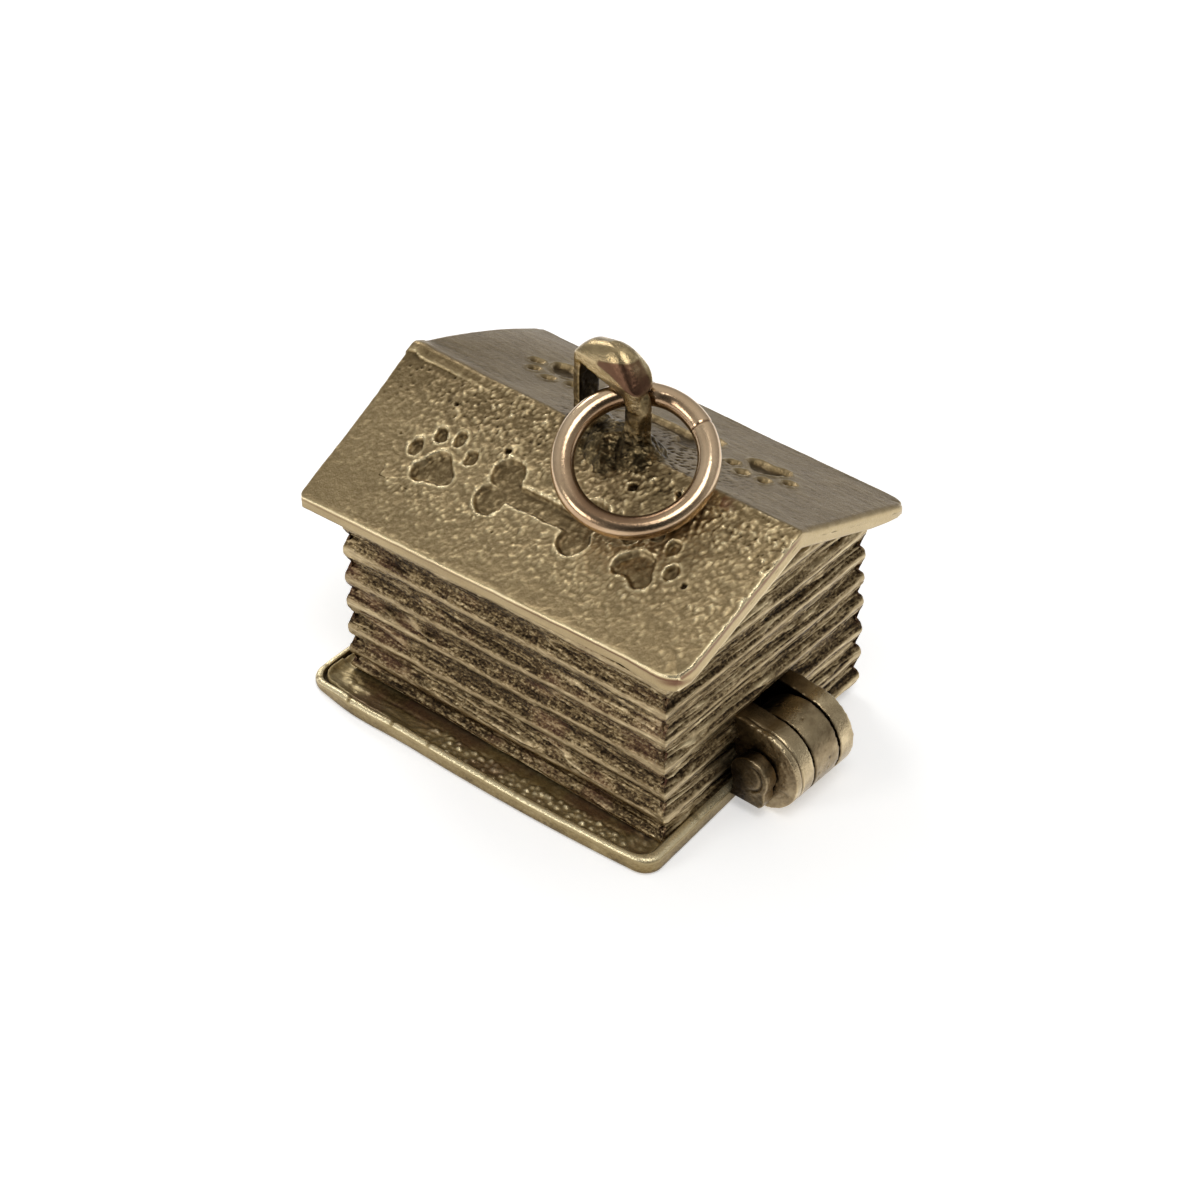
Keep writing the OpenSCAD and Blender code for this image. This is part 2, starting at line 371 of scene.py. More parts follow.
def cloud(tree, place, scale, detail, roughness):
    return node(tree, "ShaderNodeTexNoise", {"Vector": place, "Scale": scale, "Detail": detail,
                                             "Roughness": roughness}).outputs["Fac"]


def varied(tree, value, clouds, amount, clamp=False):
    """The value, with the clouds added where they are above their middle and taken off where below."""
    return maths(tree, "MULTIPLY_ADD", maths(tree, "SUBTRACT", clouds, 0.5), amount, value, clamp)


def stretched(tree, place, scale):
    scale = tuple(s / MM for s in scale)
    return node(tree, "ShaderNodeMapping", {"Vector": place, "Scale": scale}).outputs[0]


def attribute(tree, name):
    return node(tree, "ShaderNodeAttribute", attribute_name=name).outputs["Fac"]


def between(tree, value, start, stop, first, last):
    return node(tree, "ShaderNodeMapRange", {"Value": value, "From Min": start, "From Max": stop,
                                             "To Min": first, "To Max": last}).outputs[0]


def colour_ramp(tree, value, stops):
    ramp = node(tree, "ShaderNodeValToRGB", {"Fac": value})
    elements = ramp.color_ramp.elements
    while len(elements) < len(stops):
        elements.new(0.5)
    for element, (at, colour) in zip(elements, stops):
        element.position = at
        element.color = (*colour, 1)
    return ramp.outputs["Color"]


# reddish brown for stains, also used for a painted dark reflection on the bail
RUST_AND_DARK_REFLECTION = (0.17, 0.075, 0.05, 1)
ALONG_BOARDS = (0.45, 0.45, 1)
GRIT_SCALE = 16.0


def gold(name, colours, rough=(0.45, 0.27), grain=0.2, grain_size=0.08, bump=0.3, patch=0.08,
         stretch=(1, 1, 1), spots=0.0, grit=0.0, plain_tone=None, metallic=1.0):
    """Cast gold: dark and matt in the hollows, pale and polished on the high points, with brown stains and a
    painted reddish dark reflection where a mesh asks for it.
    """
    mat = bpy.data.materials.new(name)
    mat.use_nodes = True
    t = mat.node_tree
    t.nodes.clear()
    out = node(t, "ShaderNodeOutputMaterial")
    bsdf = node(t, "ShaderNodeBsdfPrincipled", {"Metallic": metallic})
    t.links.new(bsdf.outputs[0], out.inputs[0])
    where = node(t, "ShaderNodeTexCoord").outputs["Object"]
    place, plain = stretched(t, where, stretch), stretched(t, where, (1, 1, 1))
    broad = cloud(t, plain, 0.8, 4.0, 0.6)
    tone = plain_tone or attribute(t, "tone")
    mix = varied(t, tone, cloud(t, place, 1 / grain_size, 3.0, 0.65), grain * 2)
    if grit > 0:
        speck = cloud(t, stretched(t, where, ALONG_BOARDS), GRIT_SCALE, 2.0, 0.5)
        mix = varied(t, mix, speck, between(t, tone, 0.35, 0.75, 6 * grit, 0.0))
    mix = varied(t, mix, broad, patch * 2, clamp=True)
    blots = maths(t, "SUBTRACT", cloud(t, plain, 2.2, 5.0, 0.7), 0.58, clamp=True)
    brown = maths(t, "ADD", maths(t, "MULTIPLY", blots, 5.0 * spots), attribute(t, "rust"), clamp=True)
    blend = node(t, "ShaderNodeMix", {0: brown, 6: colour_ramp(t, mix, colours), 7: RUST_AND_DARK_REFLECTION}, data_type="RGBA")
    t.links.new(blend.outputs[2], bsdf.inputs["Base Color"])
    dull = maths(t, "MULTIPLY_ADD", mix, rough[1] - rough[0], rough[0])
    t.links.new(varied(t, dull, broad, 0.1, clamp=True), bsdf.inputs["Roughness"])
    micro = cloud(t, place, 0.8 / grain_size, 5.0, 0.62)
    lift = node(t, "ShaderNodeBump", {"Height": micro, "Strength": bump, "Distance": 0.05 * MM})
    t.links.new(lift.outputs[0], bsdf.inputs["Normal"])
    return mat


def tones(*colours):
    """Colours in linear red, green and blue, from hollow to high point."""
    return list(zip((0.0, 0.3, 0.5, 0.75, 1.0), colours))


WALL_COLOURS = tones((0.020, 0.013, 0.007), (0.088, 0.058, 0.029), (0.205, 0.146, 0.072),
                     (0.43, 0.33, 0.188), (0.80, 0.66, 0.404))
ROOF_COLOURS = tones((0.04, 0.026, 0.013), (0.19, 0.135, 0.066), (0.37, 0.277, 0.147),
                     (0.56, 0.44, 0.248), (0.90, 0.76, 0.478))
TRAY_COLOURS = tones((0.02, 0.013, 0.005), (0.11, 0.072, 0.024), (0.26, 0.185, 0.075),
                     (0.44, 0.345, 0.18), (0.85, 0.72, 0.45))
BAIL_COLOURS = tones((0.022, 0.015, 0.008), (0.115, 0.084, 0.041), (0.33, 0.245, 0.126),
                     (0.62, 0.485, 0.272), (0.95, 0.80, 0.514))
HINGE_COLOURS = tones((0.02, 0.013, 0.008), (0.095, 0.068, 0.036), (0.24, 0.178, 0.101),
                      (0.46, 0.36, 0.216), (0.85, 0.70, 0.442))
ROSE_COLOURS = [(0.0, (0.06, 0.028, 0.017)), (0.35, (0.32, 0.20, 0.116)), (0.6, (0.68, 0.49, 0.312)),
                (1.0, (0.96, 0.77, 0.539))]

mat_wall = gold("wall_gold", WALL_COLOURS, rough=(0.45, 0.28), grain=0.30, grain_size=0.055, bump=0.6,
                patch=0.05, stretch=(0.16, 0.16, 1), spots=0.15, grit=0.24)
mat_roof = gold("roof_gold", ROOF_COLOURS, rough=(0.42, 0.26), grain=0.09, grain_size=0.06, bump=0.4,
                patch=0.05, spots=0.08)
mat_tray = gold("tray_gold", TRAY_COLOURS, rough=(0.5, 0.27), grain=0.12, grain_size=0.07, bump=0.4,
                patch=0.08, spots=0.15, grit=0.1, metallic=0.72)
mat_bail = gold("bail_gold", BAIL_COLOURS, rough=(0.36, 0.19), grain=0.10, patch=0.12, spots=0.12)
mat_hinge = gold("hinge_gold", HINGE_COLOURS, rough=(0.38, 0.23), grain=0.10, grain_size=0.07, bump=0.35,
                 patch=0.10, spots=0.12)
mat_ring = gold("rose_gold", ROSE_COLOURS, rough=(0.26, 0.17), grain=0.04, grain_size=0.1, bump=0.1,
                patch=0.12, spots=0.2)
mat_pin = gold("pin_gold", HINGE_COLOURS, rough=(0.4, 0.3), stretch=(4, 0.5, 4), plain_tone=0.6)


# the roof

# each slope's length, and its direction up from the eave in Y and Z
RISE = RIDGE_Z - EAVE_Z
NEAR_LEN, FAR_LEN = math.hypot(ROOF_FRONT, RISE), math.hypot(ROOF_BACK, RISE)
NEAR_UP = (ROOF_FRONT / NEAR_LEN, RISE / NEAR_LEN)
FAR_UP = (ROOF_BACK / FAR_LEN, RISE / FAR_LEN)
ENGRAVED_DEPTH, BURR_HEIGHT, CREST_W = 0.17, 0.025, 0.42
# the near eave lies lower by this share of the distance to the left of this place
DROOP, DROOP_FROM_X = 0.044, 6

ROOF_ROW_GAP = 0.05
# a dark spot on the near corner at the hinge end, painted shade on the far slope by the bail, and a stain by
# the crest
SPOT_AT, BAIL_SHADE_AT, STAIN_X = (7.7, -5.5, 7.75), (0.7, 0.9), 5.1

# small dark pits in the near slope: place along the ridge, distance up from the eave, radius, depth
PITS = [(-5.1, 5.0, 0.09, 0.2), (-4.85, 4.6, 0.07, 0.15), (-2.3, 4.35, 0.12, 0.25), (1.1, 5.5, 0.12, 0.2),
        (2.3, 5.1, 0.17, 0.2), (4.0, 5.45, 0.16, 0.2), (3.8, 5.6, 0.1, 0.2), (6.0, 2.9, 0.12, 0.15),
        (-0.9, 1.7, 0.05, 0.1), (-6.2, 3.3, 0.05, 0.1)]


def reach(y):
    """How far the eave on the side of y reaches out."""
    return np.where(np.asarray(y) < 0, ROOF_FRONT, ROOF_BACK)


def top_height(y):
    """The height of the straight roof's top at y."""
    return RIDGE_Z - abs(y) * RISE / reach(y)


def sag(x, y):
    """How far the bent eaves lie above or below the straight roof: the near one droops to the left."""
    near = -DROOP * np.clip(DROOP_FROM_X - x, 0, None)
    far = 0.05 * clamp((2 - x) / 10)
    return np.where(y < 0, near, far) * abs(y) / reach(y)


def circle_at(x, y, cx, cy, r):
    return np.hypot(x - cx, y - cy) - r


def soft_min(a, b, k):
    """The lesser of a and b, rounded off where they are within k of each other."""
    h = clamp(0.5 + 0.5 * (b - a) / k)
    return b * (1 - h) + a * h - k * h * (1 - h)


def bone(x, y, length=4.7, knob=0.6):
    """Distance to the outline of a bone, below 0 inside it."""
    d = np.maximum(abs(x) - (length / 2 - knob), abs(y) - knob * 0.62)
    for sx in (-1, 1):
        for sy in (-1, 1):
            d = soft_min(d, circle_at(x, y, sx * (length / 2 - knob), sy * knob * 0.8, knob * 0.97), 0.12)
    return d


def paw(x, y):
    """Distance to the outline of a paw print, below 0 inside it."""
    d = circle_at(x, y, 0, -0.3, 0.55)
    for s in (-1, 1):
        d = soft_min(d, circle_at(x, y, s * 0.42, -0.6, 0.37), 0.2)
    for cx, cy in ((-1.02, 0.22), (-0.38, 0.82), (0.38, 0.82), (1.02, 0.22)):
        d = np.minimum(d, circle_at((x - cx) / 0.9, (y - cy) / 1.08, 0, 0, 0.28))
    return d


def marks(x, y, spacing=4.3, lean=12):
    """Distance to the nearest engraved mark; x runs along the slope and y up from its middle."""
    d = bone(x, y)
    for s in (-1, 1):
        c, n = math.cos(math.radians(-s * lean)), math.sin(math.radians(-s * lean))
        px = x - s * spacing
        d = np.minimum(d, paw(px * c + y * n, y * c - px * n))
    return d


def engraved(x, up, length, seed):
    """Height, cut and raised edge of the engraving, on a slope of the length given."""
    wobble = 0.05 * noise(x * 2.2, up * 2.2, 0, seed) + 0.025 * noise(x * 7, up * 7, 0, seed + 1)
    d = marks(x, up - length / 2) + wobble
    cut, burr = 1 - step(-0.1, 0.02, d), bell(d - 0.045, 0.05)
    floor = 0.03 * fractal(x * 6, up * 6, 0, seed + 2, 3)
    return (floor - ENGRAVED_DEPTH) * cut + BURR_HEIGHT * burr, cut, burr


def strokes(x, up, along, across, lean, seed):
    """Short worn strokes that lean over from straight up the slope, from 0 to 1."""
    a = x * math.sin(lean) + up * math.cos(lean)
    b = x * math.cos(lean) - up * math.sin(lean)
    near, pick = cells(a / along, b / across, seed)
    return dome(near, 0.55) * (0.15 + 0.85 * step(0.35, 0.75, pick))


def near_slope(x, up):
    """The cast near slope's height, painted glints and dark pits: strokes and grains, most near the crest.
    """
    left = step(-7.6, -4.6, x + 0.6 * noise(x * 0.4, up * 0.4, 0, 3))
    crest = step(2.6, 5.4, up + 0.8 * noise(x * 0.35, up * 0.35, 0, 4))
    rough = (0.3 + 0.7 * left) * (0.45 + 0.55 * step(0.3, 2.0, up)) * (0.7 + 0.3 * crest)
    wx, wy = (v + 0.06 * noise(x * 3, up * 3, 0, seed) for v, seed in ((x, 5), (up, 6)))
    long = strokes(wx, wy, 0.28, 0.13, 0.36, 11) * step(-0.35, 0.25, fractal(x / 0.6, up / 0.6, 0, 17, 3))
    short = strokes(wx, wy, 0.17, 0.10, 0.6, 13)
    lumps = fractal(x / 0.55, up / 0.55, 0, 15, 4, 0.6)
    near, pick = cells(wx / 0.17, wy / 0.22, 25)
    granules = dome(near, 0.6) * step(0.62, 0.8, pick + 0.25 * noise(x * 0.8, up * 0.8, 0, 26))
    near, pick = cells(x / 0.3, up / 0.3, 23)
    holes = bump_at(near * 0.3, 0.045 + 0.03 * pick) * (pick > 0.45) * crest
    height = rough * (0.065 * long + 0.045 * short + 0.055 * lumps + 0.06 * granules) - 0.05 * holes
    height += 0.02 * fractal(x / 2.5, up / 2.5, 0, 19, 3)
    dark = 0.4 * holes
    for px, pu, r, depth in PITS:
        d = circle_at(x, up, px, pu, 0) * (1 + 0.15 * noise(x * 6, up * 6, 0, int(px * 10) + 60))
        height = height - depth * bump_at(d, r * 1.25) + 0.02 * bell(d - r * 1.3, 0.05)
        dark += bump_at(d, r * 1.2)
    return height, rough * (0.44 * long + 0.28 * short + 0.65 * granules), dark


def far_slope(x, up):
    """The far slope's height, bright points and dark pits: marks along the ridge, and pits by the bail."""
    brushed = noise(x * 1.2, up * 14, 0, 41) + 0.6 * noise(x * 3.5, up * 26, 0, 42)
    by_bail = bell(x - 1.4, 2.4) * step(3.0, 5.6, up)
    near, pick = cells(x / 0.19, up / 0.19, 44)
    pits = dome(near, 0.45) * (pick > 0.45)
    lumps = fractal(x / 1.6, up / 1.6, 0, 43, 4, 0.55)
    height = 0.004 * brushed + 0.02 * lumps - 0.055 * pits * (0.12 + by_bail)
    return height, 0.08 * clamp(brushed), pits * (0.1 + 0.9 * by_bail)


def roof_grid():
    """The plain roof as a grid: rows along its length, columns round its outline."""
    outline = [(-ROOF_FRONT, EAVE_Z - ROOF_DROP), (-ROOF_FRONT, EAVE_Z), (0, RIDGE_Z), (ROOF_BACK, EAVE_Z),
               (ROOF_BACK, EAVE_Z - ROOF_DROP), (0, RIDGE_Z - ROOF_DROP)]
    prof, side = rounded_path(outline, [0.08, 0.09, 0.24, 0.16, 0.14, 0.05],
                              [0.045, 0.047, 0.085, 0.08, 0.55, 0.55], 5)
    y, z = prof.T
    half_t = ROOF_T / 2
    mid_y = np.clip(y, half_t - ROOF_FRONT, ROOF_BACK - half_t)
    mid_z = top_height(mid_y) - ROOF_DROP / 2
    half_len = ROOF_LEN / 2 + RIDGE_EXT * (1 - abs(y) / reach(y))
    # the ends: a face, and an edge that is softest along the top of the far slope
    edge = 0.08 + 0.13 * step(-0.3, 0.6, y) * (1 - step(3.2, 3.9, side))
    ends = [(0 * y, 1 - f * (1 - edge / half_t)) for f in (0, 0.35, 0.7)]
    for turn in np.radians((90, 67, 45, 22)):
        ends.append((edge * (1 - math.sin(turn)), edge * (1 - math.cos(turn)) / half_t))
    rows = [(ROOF_SHIFT - half_len + d, f) for d, f in ends]
    for b in np.linspace(-1, 1, int(round(ROOF_LEN / (ROOF_ROW_GAP * COARSE)))):
        rows.append((ROOF_SHIFT + (half_len - edge) * b, 0 * y))
    rows += [(ROOF_SHIFT + half_len - d, f) for d, f in reversed(ends)]
    X, inward = (np.array(values) for values in zip(*rows))
    path = np.concatenate([[0], np.cumsum(np.hypot(*np.diff(prof, axis=0).T))])
    from_eave = path - path[np.argmin(abs(side - 0.99))]
    return X, y + (mid_y - y) * inward, z + (mid_z - z) * inward, inward, side, from_eave


def shape_roof(X, Y, Z):
    """Rounds the four corners in plan, thins the eaves, fills the far slope a little and bends the roof."""
    x_mid = X - ROOF_SHIFT
    for sx, sy, half, r in ((1, -1, ROOF_FRONT, 0.85), (1, 1, ROOF_BACK, 0.62),
                            (-1, -1, ROOF_FRONT, 0.2), (-1, 1, ROOF_BACK, 0.35)):
        dx, dy = sx * x_mid - (ROOF_LEN / 2 - r), sy * Y - (half - r)
        corner = (dx > 0) & (dy > 0)
        pull = np.maximum(dx, dy) / np.maximum(np.hypot(dx, dy), 1e-9)
        x_mid = np.where(corner, sx * (ROOF_LEN / 2 - r + dx * pull), x_mid)
        Y = np.where(corner, sy * (half - r + dy * pull), Y)
    # the near left corner stands a little further out, and the far slope is a little full at the left
    X = x_mid + ROOF_SHIFT - 0.13 * step(-2, -5.75, Y) * step(-5, -8, x_mid)
    thin = 0.17 * bell(Y + ROOF_FRONT, 0.9) * (1 - step(5.6, 6.8, X))
    thin += 0.24 * bell(Y - ROOF_BACK, 1.2) * step(4.0, 7.0, X)
    full = 0.17 * np.sin(math.pi * clamp(Y / ROOF_BACK)) * step(-3.5, -7.5, X)
    return X, Y, Z + clamp((top_height(Y) - Z) / ROOF_DROP) * thin + full + sag(X, Y)


def build_roof():
    X, Y, Z, inward, side, from_eave = roof_grid()
    end_gap = np.minimum(X - X[0], X[-1] - X)
    X, Y, Z = shape_roof(X, Y, Z)
    P = np.stack([X, Y, Z], -1)
    N = closed_grid_normals(P)
    on_near = step(0.86, 0.985, N @ np.array([0, -NEAR_UP[1], NEAR_UP[0]])) * (Y < 0)
    on_far = step(0.86, 0.985, N @ np.array([0, FAR_UP[1], FAR_UP[0]])) * (Y >= 0)
    off_slopes = 1 - np.maximum(on_near, on_far)

    def both(near, far):
        return on_near * near + on_far * far

    near_up, far_up = (Y + ROOF_FRONT) / NEAR_UP[0], (ROOF_BACK - Y) / FAR_UP[0]
    near_h, near_painted_glints, near_dark = near_slope(X, near_up)
    far_h, far_bright, far_dark = far_slope(X, far_up)
    near_marks, near_cut, near_burr = engraved(X, near_up, NEAR_LEN, 71)
    far_marks, far_cut, far_burr = engraved(-X, far_up, FAR_LEN, 81)
    # the grain stops at the engraving, where the cut is smoother
    near_h = near_h * (1 - 0.75 * near_cut) + near_marks
    far_h = far_h * (1 - 0.5 * far_cut) + far_marks
    # the crest: a smooth band a little proud of the near slope, its lip highest at the left end
    wave = 0.05 * noise(X * 0.9, 0, 0, 91) + 0.02 * noise(X * 3.1, 0, 0, 92)
    lip_at = NEAR_LEN - CREST_W + wave + 0.1 * (1 - step(-7.75, -7.4, X))
    lip = step(-0.03, 0.03, near_up - lip_at)
    to_right = step(-5.5, -3.5, X)
    rise = 0.022 - 0.012 * to_right + 0.07 * bell(X + 7.7, 0.35) + 0.03 * bell(X + 6.6, 0.9)
    rise += 0.008 * noise(X * 1.7, 0, 0, 93)
    band = lip * (rise + 0.006 * fractal(X * 2, Y * 8, 0, 94, 3))
    near_h = near_h * (1 - lip * (1 - 0.6 * to_right)) + band
    far_h += rise * bell(far_up - FAR_LEN, 0.35)
    top = (abs(Y) < 0.4) & (N[..., 2] > 0.5)
    H = both(near_h, far_h) + top * off_slopes * rise
    # edges: a slightly wavy worn bead along the eaves, and fine marks on the faces
    eave_band = bell(np.minimum(near_up, far_up), 0.12) * (1 - off_slopes)
    H += eave_band * (0.015 + 0.01 * noise(X * 0.9, np.sign(Y) * 5, 0, 95))
    faces = off_slopes * (1 - top)
    H += faces * (0.010 * fractal(X * 1.5, Y * 5, Z * 5, 96, 4) + 0.006 * noise(X * 0.8, Z * 9, 0, 97))
    under = (side >= 4) & (N[..., 2] < -0.5)
    H = np.where(under, 0.02 * fractal(X, Y, Z, 98, 3), H)

    # the tone: hollows dark, high points pale
    plain = H + ENGRAVED_DEPTH * both(near_cut, far_cut) - BURR_HEIGHT * both(near_burr, far_burr)
    tone = 0.455 + 3.2 * (plain - blur(plain, 3)) + 2.0 * (plain - blur(plain, 9))
    # painted glints on the near slope's strokes and grains, paler brushed marks on the far slope, and dark
    # pits
    tone += 0.55 * both(near_painted_glints, far_bright) - 0.42 * both(near_dark, far_dark)
    # the engraved cuts are darker, and their raised edges carry a painted highlight
    tone = tone - 0.17 * both(near_cut, far_cut) + 0.42 * both(near_burr * (1 - near_cut), 0.4 * far_burr)
    tone = tone - 0.07 * on_far + 0.16 * faces
    # painted highlight along the crest's lip; the band above the lip is a little darker
    lip_line = bell(near_up - lip_at - 0.02, 0.035) * on_near
    tone += 0.40 * lip_line * (1 - 0.85 * to_right) - 0.05 * lip * on_near
    # painted shade: the near slope is a little darker below the crest
    tone -= 0.12 * on_near * step(NEAR_LEN - 2.6, NEAR_LEN - 1.0, near_up) * (1 - 0.5 * step(2, 6, X))
    # the near eave: a thin ragged painted highlight, a brown line under it and a flat pale face
    ragged = from_eave + 0.012 * noise(X * 2, 0, 0, 141) + 0.006 * noise(X * 9, 0, 0, 142)
    bright = bell(ragged + 0.01, 0.065) * (inward < 0.3)
    brown = bell(ragged + 0.125, 0.04) * (0.45 + 0.55 * step(-1, 5, X))
    tone = np.where((side < 1.0) & (inward < 0.5), 0.52 + 0.05 * noise(X * 0.9, Z * 4, 0, 143), tone)
    tone += 0.45 * bright - 0.30 * brown
    # the hinge-end verge: a painted highlight along the near side with a reddish line beside it
    near_verge = step(0.1, -0.4, Y) * (X > 0) * (N[..., 2] > -0.2)
    verge = bell(end_gap - 0.05, 0.06) * (inward < 0.3) * near_verge * step(0.0, 0.15, from_eave)
    beside = bell(inward * ROOF_T / 2 - 0.11, 0.06) * near_verge * (end_gap < 0.05) * (side > 1) * (side < 4)
    spot = bell(np.hypot(X - SPOT_AT[0], Y - SPOT_AT[1]), 0.5) * bell(Z - SPOT_AT[2], 0.1)
    tone += 0.42 * verge - 0.12 * beside + 0.12 * ((end_gap < 0.02) & (X > 0)) - 0.2 * spot
    by_crest = bell(X - STAIN_X, 0.6) * bell(near_up - NEAR_LEN + 0.4, 0.45) * on_near
    rust = 0.7 * brown * (Y < 0) + beside + 0.8 * spot
    rust += 0.8 * by_crest * step(-0.1, 0.4, fractal(X * 3, Y * 3, 0, 27, 3))
    # painted shade on the far slope about the bail's foot
    tone -= 0.30 * on_far * bell(np.hypot(X - BAIL_SHADE_AT[0], Y - BAIL_SHADE_AT[1]), 1.3)
    tone = np.where(under, 0.25, tone)
    P += N * H[..., None]
    return grid_object("kennel_roof", P, grid_faces(*X.shape, wrap_m=True), tone=tone, rust=rust)


# the walls: the heights of the board edges at the four corners, from the bottom board up

BOARD_EDGES = np.array([
    # near left, near right, far right, far left
    [0.40, 0.32, 0.60, 0.50],
    [1.12, 1.32, 1.70, 1.50],
    [2.06, 2.38, 2.74, 2.50],
    [3.18, 3.46, 3.90, 3.58],
    [4.22, 4.56, 4.91, 4.62],
    [5.41, 5.70, 5.91, 5.68],
    [6.45, 6.78, 6.94, 6.72],
    [7.50, 7.85, 7.97, 7.76],
    [8.60, 8.90, 8.98, 8.80],
    [9.70, 9.92, 9.98, 9.84],
])
WALL_FOOT = np.array([0.38, 0.33, 0.33, 0.36])
BELOW_BOARDS, ABOVE_BOARDS = -0.4, 11.0
INNER_ROWS = (1.0, 0.75, 0.5, 0.25, 0.0)
INSIDE_TONE, FOOT_TONE, BOARD_TONE, WORN_TONE = 0.35, 0.5, 0.27, 0.70
BOARD_DEPTH = 0.25


def wall_relief(side, t, s, z, to_corner):
    """Height, tone and stain of a boarded wall, at share t of the side, s along the path and height z."""
    end = (side % 2 == 1).astype(float)
    lower, upper, index = np.full(z.shape, BELOW_BOARDS), np.full(z.shape, ABOVE_BOARDS), np.zeros(z.shape)
    for k, row in enumerate(BOARD_EDGES):
        edge = row[side] * (1 - t) + row[(side + 1) % 4] * t
        edge += 0.05 * noise(s * 0.28, k * 3.3, 0, 101) + 0.02 * noise(s * 1.1, k * 5.1, 0, 102)
        below = edge <= z
        lower = np.where(below, edge, lower)
        index = np.where(below, k + 1, index)
        upper = np.where(~below & (upper == ABOVE_BOARDS), edge, upper)
    corner = bell(to_corner, 0.7)
    near_edge = np.minimum(z - lower, upper - z)
    # ridges with a hollow between them: narrow ridges along the sides, full round ones at the corners
    wavy = 0.5 + 0.5 * np.cos(2 * math.pi * (z - lower) / (upper - lower))
    ridge = wavy ** (1.35 + 0.5 * end - 0.9 * corner)
    depth = BOARD_DEPTH + 0.02 * noise(s * 0.4, index * 4.1, 0, 105)
    shade = step(0.05, 0.16, near_edge + 0.03 * noise(s * 2.4, z * 5, 0, 104))
    # fine ridges that drift along the boards and run into the big ones, more of them on the end walls
    lean, rate = 0.16 * s * (1 - end), 3.4 + 2.8 * end
    first = noise(s * 0.17 + 9, z * rate + lean, index * 7.7, 106)
    second = noise(s * 0.30, z * rate * 1.9 + lean * 1.5, index * 3.1, 107)
    third = noise(s * 0.55, z * rate * 3.2 + lean * 2, index * 5.3, 118)
    show = step(-0.5, 0.2, noise(s * 0.3, index * 9.3, 0, 108) + 0.6 * end)
    show2 = step(-0.3, 0.4, noise(s * 0.45, index * 5.7, 0, 109) + 0.5 * end)
    finest = np.maximum((0.85 + 0.1 * end) * dome(abs(second), 0.22) * show2,
                        (0.5 + 0.3 * end) * dome(abs(third), 0.25))
    streak = np.maximum(dome(abs(first), 0.19) * show, finest) * shade
    groove = np.maximum(dome(abs(first - 0.30), 0.13) * show, dome(abs(second + 0.34), 0.16) * show2) * shade
    # grains in the hollows, in dotted rows along the boards
    near, pick = cells(s / 0.085, z / 0.07, 110)
    grains = dome(near, 0.55) * (0.3 + 0.7 * pick)
    rows = bell(near_edge - 0.2, 0.05) + (1 - end) * clamp(noise(s * 0.4, z * 2.2, 0, 119))
    zone = shade * (1 - 0.5 * streak) * (1 - 0.35 * end)
    calm = 1 - 0.8 * bell(to_corner, 0.16)
    height = -(depth + 0.06 * corner) * (1 - ridge) + calm * (0.09 * streak + zone * (0.06 * grains - 0.015))
    height += (1 - shade) * 0.008 * fractal(s * 1.2, z * 7, 0, 112, 3)
    height += 0.03 * fractal(s / 1.8, z / 1.8, 0, 113, 3)
    fine = fractal(s * 1.6, z * 14, 0, 116, 3)
    bright = 0.55 * grains * (pick > 0.5) * clamp(rows) - 0.20 * dome(near, 0.5) * (pick < 0.25)
    tone = BOARD_TONE - 0.04 * end + 0.26 * fine + zone * bright
    tone += (0.42 + 0.16 * end) * streak - (0.30 + 0.1 * end) * groove
    # the boards' edges are worn pale
    width = 0.115 - 0.035 * end + 0.09 * corner + 0.035 * noise(s * 0.5, index * 2.7, 0, 103)
    worn = np.exp(-(near_edge / width) ** 4)
    tone = tone * (1 - worn) + (WORN_TONE + 0.08 * fine) * worn
    at_corner = bell(to_corner, 0.2) * shade
    tone += 0.10 * noise(s * 0.4, z * 0.7, 0, 114) - 0.01 + 0.13 * end - 0.12 * at_corner
    stain = step(0.1, 0.6, fractal(s * 0.55, z * 0.9, 0, 117, 3)) * shade * 0.25 * (1 - end)
    return height, tone, stain + 0.4 * at_corner * step(0.3, 0.6, 1 - ridge)


def wall_columns(places):
    """Which side each place of the plan path is on, its share of that side, and how far off a corner is."""
    half_x, half_y = (WALL_X1 - WALL_X0) / 2, WALL_Y
    x, y = places[:, 0] - (WALL_X0 + WALL_X1) / 2, places[:, 1]
    side = np.where(abs(y) - half_y > abs(x) - half_x, np.where(y < 0, 0, 2), np.where(x > 0, 1, 3))
    x, y = x / half_x, y / half_y
    t = np.choose(side, [(x + 1) / 2, (y + 1) / 2, (1 - x) / 2, (1 - y) / 2])
    return side, t, np.minimum(t, 1 - t) * np.where(side % 2 == 0, 2 * half_x, 2 * half_y)


